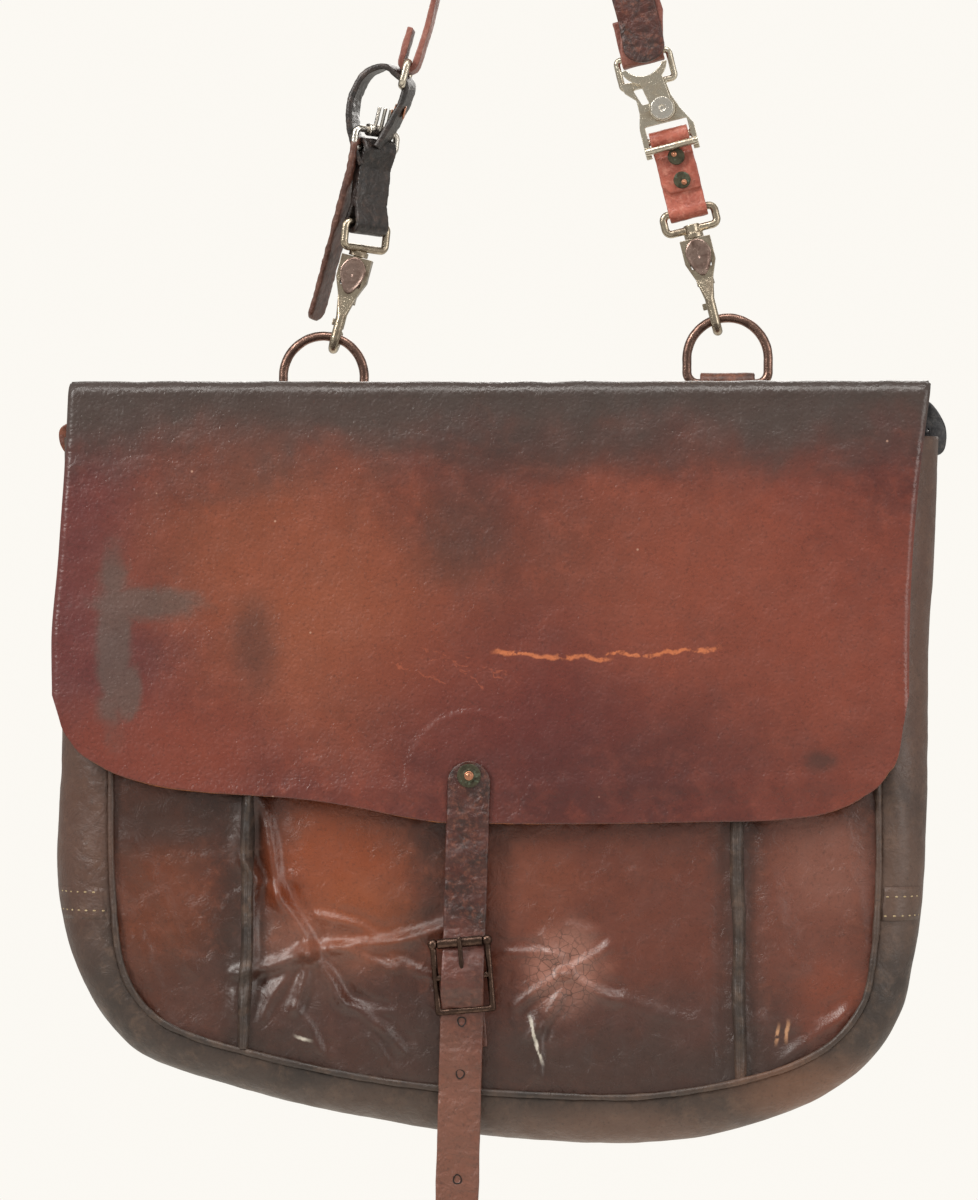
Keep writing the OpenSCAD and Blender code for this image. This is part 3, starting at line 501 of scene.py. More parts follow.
def flap_extra(m, col):
    z = m.z_mm()
    for x, zz, rx, rz, color, amount in (
            (-198, 265, 34, 95, (90, 42, 44), 0.7), (-105, 292, 70, 58, ORANGE, 0.62),
            (-60, 236, 60, 44, ORANGE, 0.55), (-170, 196, 52, 24, (128, 58, 38), 0.55),
            (60, 296, 78, 52, (132, 70, 48), 0.45), (140, 262, 70, 66, (136, 66, 46), 0.5),
            (180, 215, 44, 60, (128, 62, 44), 0.45), (55, 190, 90, 32, (78, 34, 30), 0.55),
            (-6, 222, 64, 40, (92, 30, 28), 0.45), (-118, 248, 11, 20, DARK, 0.5),
            (-12, 306, 20, 30, DARK, 0.5), (165, 190, 7, 5, DARK, 0.6), (40, 345, 70, 12, DARK, 0.5)):
        col = m.over(col, m.blob(x, zz, rx, rz, 1.4, 0.5), amount, color)
    edge = m.add(z, m.math("MULTIPLY_ADD", m.noise(60, 5.0, 0.6, 0.5), 70.0, -35.0))
    col = m.over(col, m.between(edge, 318.0, 368.0), 0.9, (62, 54, 50))
    col = m.over(col, m.between(z, 366.0, 380.0), 0.55, (48, 40, 36))
    scuff = m.blob(-189, 250, 9, 44, 0.7, 0.55, 14)
    scuff = m.math("MAXIMUM", scuff, m.blob(-172, 268, 27, 8, 0.8, 0.6, 12))
    scuff = m.math("MAXIMUM", scuff, m.blob(-182, 224, 7, 14, 0.7, 0.6, 10))
    col = m.over(col, scuff, 0.62, (84, 78, 72))
    scratch = m.stroke(2, 244, 60, 240, 1.6, 1.0, 0.42)
    scratch = m.math("MAXIMUM", scratch, m.stroke(52, 241, 114, 246, 1.3, 1.2, 0.47))
    col = m.over(col, scratch, 0.85, (196, 112, 70))
    for k in range(5):
        s = m.stroke(-50 + 9 * k, 240 + 4 * (k % 3), -18 + 9 * k, 226 + 9 * (k % 2), 0.5, 2.0, 0.5)
        col = m.over(col, s, 0.4, (176, 92, 64))
    specks = m.between(m.cells(22.0), 0.035, 0.018)
    col = m.over(col, specks, 0.6, (190, 150, 130))
    return col


def body_extra(m, col):
    z, x = m.z_mm(), m.x_mm()
    # colour patches of the front leather; the very dark one at (-158, 158), just under the flap's lower
    # edge, is painted shadow
    for px, pz, rx, rz, color, amount in (
            (-78, 140, 32, 42, (142, 68, 34), 0.75), (-66, 108, 26, 22, (142, 76, 44), 0.5),
            (-165, 118, 20, 52, (108, 54, 30), 0.65), (-180, 160, 14, 30, (74, 40, 26), 0.5),
            (52, 118, 62, 48, (110, 54, 38), 0.6), (22, 132, 20, 26, (122, 64, 42), 0.5),
            (98, 96, 26, 60, (96, 50, 38), 0.5), (158, 112, 30, 56, (118, 66, 52), 0.6),
            (168, 140, 20, 26, (136, 88, 74), 0.45), (172, 64, 18, 20, (146, 66, 36), 0.5),
            (38, 84, 17, 20, PINK, 0.6), (-92, 92, 26, 20, (150, 104, 88), 0.45),
            (-120, 70, 60, 24, (70, 44, 36), 0.7), (-40, 56, 52, 22, (66, 40, 34), 0.7),
            (96, 52, 80, 22, (72, 46, 40), 0.75), (-158, 158, 46, 14, (46, 28, 22), 0.7)):
        col = m.over(col, m.blob(px, pz, rx, rz, 1.3, 0.5), amount, color)
    edge = m.add(z, m.math("MULTIPLY_ADD", m.noise(40, 5.0, 0.6, 0.4), 50.0, -25.0))
    col = m.over(col, m.between(edge, 66.0, 36.0), 0.75, (58, 42, 36))
    for rib in (-123.0, 124.0):
        d = m.math("ABSOLUTE", m.math("SUBTRACT", x, rib))
        col = m.over(col, m.between(d, 16.0, 3.0), 0.55, (48, 34, 28))
    for sx, sz, ex, ez in ((20, 62, 27, 40), (-96, 52, -90, 50), (-152, 51, -148, 50), (144, 58, 143, 50),
                           (149, 60, 148, 51)):
        s = m.stroke(sx, sz, ex, ez, 1.3, 0.7, 0.35)
        col = m.over(col, s, 0.85, (214, 160, 120) if sx > 140 else (222, 214, 200))
    cracks = m.between(m.cells(4.2, "DISTANCE_TO_EDGE"), 0.05, 0.015)
    col = m.over(col, m.mul(cracks, m.blob(36, 82, 20, 22, 0.8, 0.4)), 0.7, (52, 30, 24))
    return col


M_FLAP = leather("flap leather", "flap_leather", OX_DEEP, OX, (130, 62, 46), 55, 1.7, (0.24, 0.44), 0.8,
                 0.28, spots=0.5, coat=0.3, extra=flap_extra)
M_BODY = leather("body leather", "body_leather", (60, 32, 22), (88, 44, 30), (120, 66, 46), 40,
                 2.6, (0.2, 0.42), 0.22, 0.7, spots=0.35, coat=0.35, extra=body_extra)
M_GUSSET = leather("gusset leather", "gusset_leather", (46, 37, 33), (68, 54, 47), (104, 82, 68), 36,
                   2.0, (0.34, 0.58), 0.35, 0.7, coat=0.15,
                   patches=[(165, 26, 40, 16, (128, 88, 66), 0.7), (60, 6, 60, 12, (116, 84, 68), 0.6),
                            (-60, 16, 50, 12, (92, 70, 58), 0.6), (205, 130, 16, 30, (112, 84, 70), 0.5),
                            (212, 260, 20, 90, (108, 74, 60), 0.5), (-205, 160, 16, 60, (96, 62, 48), 0.6)])
M_BACK = leather("back leather", "body_leather", (66, 36, 26), (98, 52, 36), (128, 76, 54), 60,
                 2.2, (0.36, 0.6), 0.35, 0.5, spots=0.5, coat=0.1)
M_FLESH = leather("leather flesh side", "body_leather", (88, 62, 46), (120, 86, 62), (150, 112, 84),
                  30, 1.2, (0.72, 0.9), 0.5, 0.5, spots=0.7, coat=0.0)
M_EDGE = leather("cut leather edge", "body_leather", (132, 74, 44), (168, 100, 60), (196, 132, 88),
                 8, 1.0, (0.5, 0.75), 0.5, 0.6, spots=0.8, coat=0.0)
M_STRAP = leather("closing strap leather", "strap_leather", (40, 20, 16), (74, 32, 24), (128, 76, 58),
                  12, 2.4, (0.28, 0.5), 0.75, 1.0, spots=1.0, coat=0.25,
                  patches=[(-18, -5, 26, 66, (128, 82, 66), 0.85), (-16, 94, 14, 16, (112, 64, 54), 0.6)])
M_SLING = leather("sling leather", "sling_leather", (104, 56, 46), (136, 82, 70), (172, 122, 108), 18,
                  1.5, (0.36, 0.58), coat=0.15)
M_SALMON = leather("lower strap leather", "sling_leather", (146, 70, 54), (176, 96, 78),
                   (204, 140, 122), 14, 1.5, (0.32, 0.5), 0.45, coat=0.2)
M_BLACK = leather("black leather", "black_leather", (26, 22, 22), (44, 36, 34), (84, 66, 58), 14, 1.4,
                  (0.28, 0.5), 0.5, 0.8, coat=0.25)
M_TAIL = leather("tail leather", "sling_leather", (70, 40, 32), (98, 62, 50), (136, 98, 84), 14, 1.5,
                 (0.34, 0.56), coat=0.15)
M_BRONZE = metal("dark bronze", "bronze", (146, 116, 104), (66, 52, 48), (0.24, 0.44), 0.75)
M_NICKEL = metal("tarnished nickel", "nickel", (216, 208, 192), (150, 132, 108), (0.16, 0.38), 0.55)
M_BRASS = metal("worn brass", "nickel", (190, 178, 158), (108, 90, 76), (0.2, 0.42), 0.75)
M_BULB = metal("bulb face", "nickel", (176, 152, 142), (84, 62, 54), (0.26, 0.46), 0.8)
M_SILVER = metal("bright rivet", "nickel", (232, 228, 220), (150, 138, 124), (0.14, 0.34), 0.4)
M_VERD = metal("verdigris", "verdigris", (96, 92, 76), (46, 44, 38), (0.5, 0.75), 0.7,
               (92, 112, 94), 0.7)
M_COPPER = metal("copper rivet", "verdigris", (206, 146, 116), (120, 80, 62), (0.25, 0.5), 0.5)
M_THREAD = leather("waxed thread", "gusset_leather", (150, 128, 92), (192, 170, 130), (216, 200, 166),
                   4, 0.5, (0.6, 0.8), 0.4, 0.3, spots=0.4, coat=0.0)
M_BUCKLE = metal("buckle steel", "bronze", (96, 76, 66), (40, 30, 28), (0.24, 0.44), 0.75)
M_CHAPE = leather("ring chape leather", "body_leather", (60, 36, 28), (104, 60, 44), (140, 88, 64),
                  wrinkle=0.5, spots=0.7)
M_EARL = leather("left ear leather", "gusset_leather", (92, 48, 34), (120, 66, 46), (150, 90, 64))
M_EARR = leather("right ear leather", "gusset_leather", (34, 34, 38), (58, 58, 62), (92, 88, 86))


def paint(obj, *mats):
    obj.data.materials.clear()
    for m in mats:
        obj.data.materials.append(m)
    return obj


# ---------------------------------------------------------------- the bag's own shape
def face_y(z):
    return -(105.0 - 33.0 * np.asarray(z, float) / 376.0)


# the back panel's plane, and the thickness of the body's and the flap's leather
BACK_Y, BODY_T, FLAP_T = -5.6, 2.4, 3.0


def body_stations(n):
    """Along the gusset from the left top, round the bottom, to the right top: outer edge
    (x, z) and seam edge (x, z)."""
    outer = [(-217, 352), (-216, 290), (-215.5, 200), (-215, 113), (-208, 90), (-196, 66), (-178, 47),
             (-154, 36), (-125, 27), (-95, 19), (-55, 11), (-15, 5), (30, 1.5), (75, 0.5), (108, 4),
             (136, 12), (165, 24), (190, 43), (203, 64), (209, 90), (213, 117), (216, 200), (219, 290),
             (222, 352)]
    inner = [(-193, 352), (-192.5, 290), (-191, 200), (-189, 118), (-186, 92), (-179, 74), (-166, 60),
             (-147, 51), (-120, 43.5), (-92, 37), (-54, 30), (-15, 25.5), (30, 23), (74, 22.5), (103, 26),
             (128, 31), (153, 39), (174, 52), (187, 70), (192, 94), (194, 120), (194, 200), (195, 290),
             (196, 352)]
    both = np.concatenate([np.array(outer, float), np.array(inner, float)], 1)
    return path_through(both, n)


def crease(x, z, x0, z0, x1, z1, wide, high, fade=0.25):
    """A fold from one point to another: high above or, if negative, below the leather."""
    dx, dz = x1 - x0, z1 - z0
    l = math.hypot(dx, dz)
    s = ((x - x0) * dx + (z - z0) * dz) / l
    n = (-(x - x0) * dz + (z - z0) * dx) / l
    n = n + 2.2 * np.sin(s / 11.0 + x0) * np.clip(s / l, 0, 1)
    ends = smooth((s + fade * l) / (fade * l + 1e-6)) * smooth((l * (1 + fade) - s) / (fade * l + 1e-6))
    hollow = 0.55 * np.exp(-((n - 1.9 * wide) / (1.5 * wide)) ** 2)
    lobe = np.exp(-np.abs(n / (1.05 * wide)) ** 1.7) - hollow
    return 1.2 * high * lobe * ends


CREASES = [
    (-120, 176, -122, 140, 3.2, 3.0), (-122, 140, -118, 128, 2.6, 3.0), (-118, 128, -121, 70, 2.6, 2.2),
    (-116, 172, -104, 122, 3.2, 3.2), (-104, 122, -90, 94, 3.0, 3.4), (-90, 94, -72, 70, 2.6, 3.0),
    (-72, 70, -44, 48, 2.4, 2.2), (-90, 94, -124, 82, 2.8, 2.4), (-124, 82, -128, 64, 2.6, 1.6),
    (-90, 94, -26, 104, 3.2, 2.6), (-90, 94, -96, 66, 2.4, 2.0), (-96, 66, -84, 46, 2.4, 1.6),
    (-84, 112, -60, 104, 2.2, 1.6), (-76, 96, -48, 88, 2.2, 1.4), (-100, 84, -112, 62, 2.0, 1.4),
    (-66, 68, -52, 62, 2.0, 1.2), (-58, 52, -50, 38, 1.8, 1.4), (-48, 92, -28, 80, 2.4, 1.4),
    (38, 84, 16, 68, 2.2, 1.8), (38, 84, 26, 100, 2.4, 1.6), (38, 84, 58, 98, 2.4, 1.5),
    (38, 84, 62, 72, 2.6, 1.8), (36, 74, 22, 52, 2.0, 1.6), (24, 60, 27, 34, 1.8, 1.6),
    (40, 108, 52, 104, 2.2, 0.9), (10, 94, 34, 92, 2.2, 1.2), (62, 72, 100, 62, 3.4, 1.0),
    (150, 44, 176, 66, 3.0, 1.2), (132, 60, 176, 60, 3.6, 0.8), (-180, 150, -150, 90, 5.0, 1.6),
    (-186, 120, -160, 60, 5.0, 1.4), (136, 150, 150, 90, 6.0, 1.0), (176, 160, 186, 100, 6.0, 1.2)]


def body_relief(x, z):
    """How far the front leather stands out from the flat panel."""
    p = np.stack([x, 0 * x, z], -1)
    big = 2.6 * fbm(p, 95.0, 2, 3)
    mid = 1.1 * fbm(p, 30.0, 3, 11)
    small = 0.22 * fbm(p, 8.0, 3, 21)
    d = big + mid * (0.5 + 0.7 * np.exp(-((x + 80) / 60) ** 2)) + small
    for c in CREASES:
        d = d + crease(x, z, *c)
    for rib, h in ((-123.0, 0.4), (124.0, 1.0)):
        d = d - 1.4 * np.exp(-((np.abs(x - rib) - 8.0) / 4.5) ** 2) * h
    edge = smooth((x + 196) / 16.0) * smooth((198 - x) / 16.0) * smooth((z - 22) / 14.0)
    hidden = smooth((236 - z) / 60.0)
    return d * edge * (0.25 + 0.75 * hidden) - 1.5 * (1 - hidden)


def fill_outline(ix, iz, top, cols, v):
    """Grid that fills the outline (ix, iz) from its lower edge up to z = top; v places the rows."""
    u = np.sin(np.linspace(-1, 1, cols) * math.pi / 2)
    low = np.argmin(iz)
    xs = ix[0] * 0.5 * (1 - u) + ix[-1] * 0.5 * (1 + u)
    order = np.argsort(ix[8:-8])
    zb = np.interp(xs, ix[8:-8][order], iz[8:-8][order])
    P = np.zeros((len(v), cols, 3))
    for j in range(cols):
        z = zb[j] + (top - zb[j]) * v
        side_l = np.interp(z, iz[:low][::-1], ix[:low][::-1])
        side_r = np.interp(z, iz[low:], ix[low:])
        P[:, j, 0], P[:, j, 2] = np.clip(xs[j] + 0 * z, side_l, side_r), z
    return P


def front_panel():
    """The three front panels as one sagging, creased sheet."""
    cols, rows_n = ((300, 240))
    st = body_stations(400)
    P = fill_outline(st[:, 2], st[:, 3], 352.0, cols, np.linspace(0, 1, rows_n) ** 0.9)
    x, z = P[..., 0], P[..., 2]
    P[..., 1] = face_y(z) - body_relief(x, z)
    o = grid_mesh("front leather", P)
    return thicken(o, BODY_T, 1.0)


front = front_panel()
paint(front, M_BODY, M_FLESH)
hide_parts("front_panel_left", "front_panel_centre", "front_panel_right")
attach(front, "bag")


ROLL_FRONT, ROLL_DEEP, GUSSET_SAG = 1.2, 0.95, 3.5


def gusset_row(st, out, wide, k, steps, deep, f_x, f_z, end_y):
    """Row k of the gusset's section: rolled back from the front seam, then straight to end_y."""
    y0 = face_y(st[:, 3]) + ROLL_FRONT
    if k <= steps:
        turn = math.pi / 2 * k / steps
        f = 1 - math.sin(turn)
        x = st[:, 0] + (st[:, 2] - st[:, 0]) * f * f_x
        z = st[:, 1] + (st[:, 3] - st[:, 1]) * f * f_z
        return x, y0 + (1 - math.cos(turn)) * wide * ROLL_DEEP, z
    t = (k - steps) / deep
    y0 = y0 + wide * ROLL_DEEP
    sag = GUSSET_SAG * math.sin(math.pi * t)
    return st[:, 0] - out[:, 0] * sag, y0 + (end_y - y0) * t, st[:, 1] - out[:, 2] * sag * f_z


def build_gusset():
    """The gusset as one strip, rolled into the front and slack in its depth."""
    n = 420
    st = body_stations(n)
    tx, tz = np.gradient(st[:, 0]), np.gradient(st[:, 1])
    l = np.hypot(tx, tz)
    out = np.stack([-tz / l, 0 * tx, tx / l], 1)
    mid = st[:, :2].mean(0)
    if np.sum(out[:, 0] * (st[:, 0] - mid[0]) + out[:, 2] * (st[:, 1] - mid[1])) < 0:
        out = -out
    wide = np.hypot(st[:, 0] - st[:, 2], st[:, 1] - st[:, 3])
    steps, deep = 14, 22
    P = np.array([np.stack(gusset_row(st, out, wide, k, steps, deep, 1.0, 1.0, BACK_Y), -1)
                  for k in range(steps + deep + 1)])
    p = P.copy()
    k = np.arange(steps + deep + 1)
    mask = smooth(k / 3.0) * smooth((steps + deep - k) / 3.0)
    d = (1.3 * fbm(p, 60.0, 3, 31) + 0.45 * fbm(p, 15.0, 3, 37) + 0.12 * fbm(p, 5.0, 2, 41)) * mask[:, None]
    front_part = np.clip(1 - (k - steps) / 4.0, 0, 1)[:, None]
    P += out[None] * (d * (1 - 0.5 * front_part))[..., None]
    P[..., 1] -= d * 0.8 * front_part
    top = smooth((P[..., 2] - 300) / 50.0)
    slack = 5.0 * np.sin(np.clip((k - steps) / deep, 0, 1) * math.pi)
    P[..., 0] -= np.sign(P[..., 0]) * top * slack[:, None]
    o = grid_mesh("gusset leather", P, flip=True)
    return thicken(o, BODY_T, -1.0), st, out, wide


gusset, STN, STN_OUT, STN_WIDE = build_gusset()
paint(gusset, M_GUSSET, M_FLESH)
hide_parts("gusset_left", "gusset_right", "gusset_bottom")
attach(gusset, "bag")


def back_panel():
    """The flat back, slightly uneven."""
    v = np.linspace(0, 1, 110)
    P = fill_outline(STN[:, 0], STN[:, 1], 346.0, 120, v)
    q = P.copy()
    q[..., 1] = 77
    keep = smooth((v * 30.0))[:, None] * smooth((1 - v) * 12.0)[:, None]
    P[..., 1] = BACK_Y - 1.0 - np.abs(1.0 * fbm(q, 80.0, 3, 51) + 0.25 * fbm(q, 12.0, 3, 53)) * keep
    o = grid_mesh("back leather", P, flip=True)
    return thicken(o, BODY_T, 0.0)


back = back_panel()
paint(back, M_BACK, M_FLESH)
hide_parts("back_panel")
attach(back, "bag")


def welt():
    """The piping where the gusset meets the front."""
    st = STN
    x, z = st[:, 2], st[:, 3]
    o = STN_OUT
    p = np.stack([x - o[:, 0] * 0.5, face_y(z) - 1.4, z - o[:, 2] * 0.5], -1)
    q = p.copy()
    p[:, 1] -= 0.5 * fbm(q, 12.0, 3, 61)
    t = tube("seam welt", p, 1.7 + 0.25 * fbm(q, 7.0, 2, 63), 10)
    return t


w_obj = welt()
paint(w_obj, M_GUSSET)
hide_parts("front_welt")
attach(w_obj, "bag")


def rib(name, x0, lean, seed):
    """A raised pleat up the front panel."""
    seam = STN[np.argmin(np.abs(STN[:, 2] - x0) + 1000 * (STN[:, 3] > 90)), 3]
    z = np.linspace(seam + 1.5, 352, 240)
    q = np.stack([0 * z + seed, 0 * z, z], -1)
    x = x0 + lean * (z - 100) / 100 + 1.4 * fbm(q, 60.0, 3, seed) * smooth((z - 20) / 60)
    k = np.linspace(-1, 1, 15)
    h = 2.9 * (1 - np.abs(k) ** 2.4) * (1 - 0.22 * np.exp(-(k / 0.16) ** 2))
    wide = 3.4 + 0.5 * fbm(q, 25.0, 2, seed + 1)
    P = np.zeros((len(z), len(k), 3))
    P[..., 0] = x[:, None] + k[None, :] * wide[:, None]
    P[..., 2] = z[:, None]
    P[..., 1] = (face_y(P[..., 2]) - body_relief(P[..., 0], P[..., 2]) - 0.2
                 - h[None, :] * (1 + 0.25 * fbm(q, 9.0, 3, seed + 2))[:, None])
    P[:, 0, 1] += 1.6
    P[:, -1, 1] += 1.6
    return grid_mesh(name, P, flip=True)


for nm, node, x0, lean, seed in (("left pleat", "front_seam_left", -123, 1.0, 71),
                                 ("right pleat", "front_seam_right", 124.5, -1.5, 81)):
    r_ = rib(nm, x0, lean, seed)
    paint(r_, M_GUSSET)
    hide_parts(node)
    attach(r_, "bag")


def lap_bands():
    """Bands over the gusset's lap seams, with two rows of thread each."""
    n = len(STN)
    low = int(np.argmin(STN[:, 1]))
    for name, node, half in (("left lap band", "gusset_band_left", range(0, low)),
                             ("right lap band", "gusset_band_right", range(low, n))):
        idx = [i for i in half if 108.5 <= STN[i, 1] <= 128.0]
        st, o, wide = STN[idx], STN_OUT[idx], STN_WIDE[idx]
        steps, deep, proud = 16, 17, 1.9
        rows = []
        for k in range(steps + deep + 1):
            x, y, z = gusset_row(st, o, wide, k, steps, deep, 0.9, 0.0, BACK_Y + 1)
            turn = math.pi / 2 * min(1.0, k / steps)
            x = x + np.sign(st[:, 0]) * math.sin(turn) * proud
            y = y - math.cos(turn) * proud
            rows.append(np.stack([x, y, z], -1))
        P = np.array(rows)
        d = 0.5 * fbm(P, 14.0, 3, 91)
        P[..., 0] += np.sign(P[..., 0]) * d
        band = grid_mesh(name, P, flip=name[0] == "l")
        thicken(band, 1.8, 0.0)
        paint(band, M_GUSSET, M_EDGE)
        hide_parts(node)
        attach(band, "bag")
        verts, faces = [], []
        for frac in (0.16, 0.84):
            j = int(frac * (P.shape[1] - 1))
            line = P[:, j, :]
            s = lengths(line)
            k = 0.0
            while k < s[-1] - 4:
                if RNG.rand() > 0.12:
                    a_ = np.array([np.interp(k, s, line[:, c]) for c in range(3)])
                    b_ = np.array([np.interp(k + 3.2, s, line[:, c]) for c in range(3)])
                    stitch(verts, faces, a_, b_, np.array([np.sign(a_[0]) * 0.5, -0.8, 0]) * 1.5, 0.55)
                k += 4.6
        t = add_mesh(name + " thread", np.array(verts), faces)
        paint(t, M_THREAD)
        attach(t, "bag")


def stitch(verts, faces, a_, b_, lift, r):
    """One short bowed stitch between two points."""
    n0 = len(verts)
    d = (b_ - a_) / (np.linalg.norm(b_ - a_) + 1e-9)
    u = np.cross(d, lift)
    u /= np.linalg.norm(u) + 1e-9
    w = np.cross(u, d)
    for k in range(5):
        t = k / 4.0
        c = a_ + (b_ - a_) * t + lift * math.sin(math.pi * t) * 0.55
        rr = r * (0.55 + 0.45 * math.sin(math.pi * t))
        for q in range(6):
            g = 2 * math.pi * q / 6
            verts.append(c + rr * (math.cos(g) * u + math.sin(g) * w))
    faces += quads(5, 6, True, True, n0)
    faces.append(tuple(n0 + q for q in range(5, -1, -1)))
    faces.append(tuple(n0 + 24 + q for q in range(6)))


lap_bands()


# ---------------------------------------------------------------- flap
FLAP_L = [(160, -217), (200, -218), (225, -219), (250, -219.5), (290, -216.5), (330, -214), (378, -212)]
FLAP_R = [(160, 207), (190, 207.5), (215, 207.7), (250, 208), (290, 209.5), (335, 213.5), (378, 219)]
FLAP_LOW = [(-219, 222), (-216, 209), (-210, 198), (-196, 187), (-172, 178), (-146, 174), (-124, 172.5),
            (-94, 170.5), (-64, 166), (-44, 162), (-24, 159), (6, 158.5), (56, 158.5), (106, 159.5),
            (148, 161), (170, 164.5), (186, 172), (198, 183), (205, 199), (208, 222)]
# height of the flat top, the seam line between its two sheets, its bend's start and radius,
# and the front face's plane at the bend
TOP_Z, MEET_Y, BEND_Y, BEND_R, FLAP_Y = 378.4, -38, -71.8, 7.0, -78.2


def flap_relief(x, z):
    """How far the flap stands out, with the pressed arc round the rivet."""
    p = np.stack([x, 0 * x, z], -1)
    d = 1.6 * fbm(p, 110.0, 2, 101) + 0.5 * fbm(p, 34.0, 3, 103)
    wr = fbm(p * np.array([0.35, 1, 1]), 7.0, 3, 105) * np.exp(-((z - 352) / 26.0) ** 2)
    d = d + 0.35 * wr + 0.10 * fbm(p, 6.0, 3, 107)
    d = d + 1.8 * np.exp(-((x + 60) / 90) ** 2) * smooth((210 - z) / 50.0)
    d = d + 0.7 * np.exp(-((z - 176 - 0.02 * x) / 5.0) ** 2)
    rho = np.hypot(x + 9, z - 182)
    under_strap = 0.8 * np.exp(-((x + 10) / 16.0) ** 2) * smooth((185 - z) / 10)
    d = d * (1 - 0.9 * np.exp(-(rho / 24.0) ** 2)) * (1 - under_strap)
    return d + 0.35 * np.exp(-((rho - 31.0) / 1.6) ** 2) - 0.3 * np.exp(-((rho - 34.5) / 1.6) ** 2)


def flap_sheet():
    """The flap from the middle of its flat top, round the bend and down the front."""
    cols, rows_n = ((340, 300))
    u = np.sin(np.linspace(-1, 1, cols) * math.pi / 2)
    P = np.zeros((rows_n, cols, 3))
    xs_low = 0.5 * (-219 * (1 - u) + 208 * (1 + u))
    zb = spline(FLAP_LOW, xs_low)
    top_n = int(rows_n * 0.16)
    for i in range(rows_n):
        if i < top_n:
            t = i / top_n
            if t < 0.6:
                y = MEET_Y + (BEND_Y - MEET_Y) * (t / 0.6)
                z = np.full(cols, TOP_Z)
            else:
                g = (t - 0.6) / 0.4 * math.pi / 2
                y = BEND_Y - BEND_R * math.sin(g)
                z = np.full(cols, TOP_Z - BEND_R * (1 - math.cos(g)))
            yy = np.full(cols, y)
            down = 0 * xs_low
        else:
            t = (i - top_n) / (rows_n - 1 - top_n)
            z = (TOP_Z - BEND_R) + (zb - (TOP_Z - BEND_R)) * t
            yy = FLAP_Y + (face_y(z) - face_y(TOP_Z - BEND_R)) - 0.6
            down = smooth(t * 8)
        x_l, x_r = spline(FLAP_L, np.clip(z, 160, 378)), spline(FLAP_R, np.clip(z, 160, 378))
        x = 0.5 * (x_l * (1 - u) + x_r * (1 + u))
        low_mix = smooth((262 - z) / 78.0)
        x = x * (1 - low_mix) + xs_low * low_mix
        P[i, :, 0], P[i, :, 1], P[i, :, 2] = x, yy, z
        P[i, :, 1] -= flap_relief(x, z) * down
    q = P.copy()
    q[..., 1] *= 0.3
    edge_u = np.abs(np.linspace(-1, 1, cols))
    curl = smooth((edge_u - 0.9) / 0.1)
    P[..., 1] += (1.6 * curl[None, :] * smooth((P[..., 2] - 180) / 60)) * (P[..., 1] < -74)
    on_top = smooth(np.arange(rows_n) / 12.0) * (np.arange(rows_n) < top_n)
    P[..., 2] += 0.5 * fbm(q, 26.0, 3, 111) * on_top[:, None]
    o = grid_mesh("flap leather", P, flip=True)
    return thicken(o, FLAP_T, 0.0, rim=2)


flap = flap_sheet()
paint(flap, M_FLAP, M_FLESH, M_EDGE)
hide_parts("flap_front")
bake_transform(flap)


def back_crease():
    """The flap's leather coming up the back and over to the flat top."""
    cols, rows_n = 200, 60
    u = np.linspace(-1, 1, cols)
    P = np.zeros((rows_n, cols, 3))
    for i in range(rows_n):
        t = i / (rows_n - 1)
        if t < 0.3:
            z, y = 346 + (TOP_Z - 5 - 346) * t / 0.3, BACK_Y - 1.0
        elif t < 0.5:
            g = (t - 0.3) / 0.2 * math.pi / 2
            z, y = TOP_Z - 5 + 5 * math.sin(g), BACK_Y - 1.0 - 5 * (1 - math.cos(g))
        else:
            z, y = TOP_Z, BACK_Y - 6 + (MEET_Y - (BACK_Y - 6)) * (t - 0.5) / 0.5
        x_l, x_r = float(spline(FLAP_L, np.array([378.0]))[0]), float(spline(FLAP_R, np.array([378.0]))[0])
        k = smooth(t / 0.35)
        x = 0.5 * ((x_l * k - 216 * (1 - k)) * (1 - u) + (x_r * k + 218 * (1 - k)) * (1 + u))
        P[i, :, 0], P[i, :, 1], P[i, :, 2] = x, y, z
    q = P.copy()
    fade = (smooth((1 - np.linspace(0, 1, rows_n)) * 6) * smooth(np.linspace(0, 1, rows_n) * 8))[:, None]
    P[..., 2] += 0.5 * fbm(q, 26.0, 3, 113) * fade
    o = grid_mesh("flap back crease", P)
    return thicken(o, FLAP_T, 0.0, rim=2)


crease_piece = back_crease()
paint(crease_piece, M_FLAP, M_FLESH, M_EDGE)
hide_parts("flap_top")
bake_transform(crease_piece)


# ---------------------------------------------------------------- straps at the front
STRAP_X, LEAN = -10.0, math.radians(1.5)
RIVET_Z = 182.5


def strap_x(z):
    return STRAP_X - (RIVET_Z - z) * math.sin(LEAN)


def cad_points(node):
    """A CAD node's vertices in bag millimetres."""
    co = [v.co for v in frame["nodes"][node].data.vertices]
    return np.array(co) * 1000.0 + ORIGIN


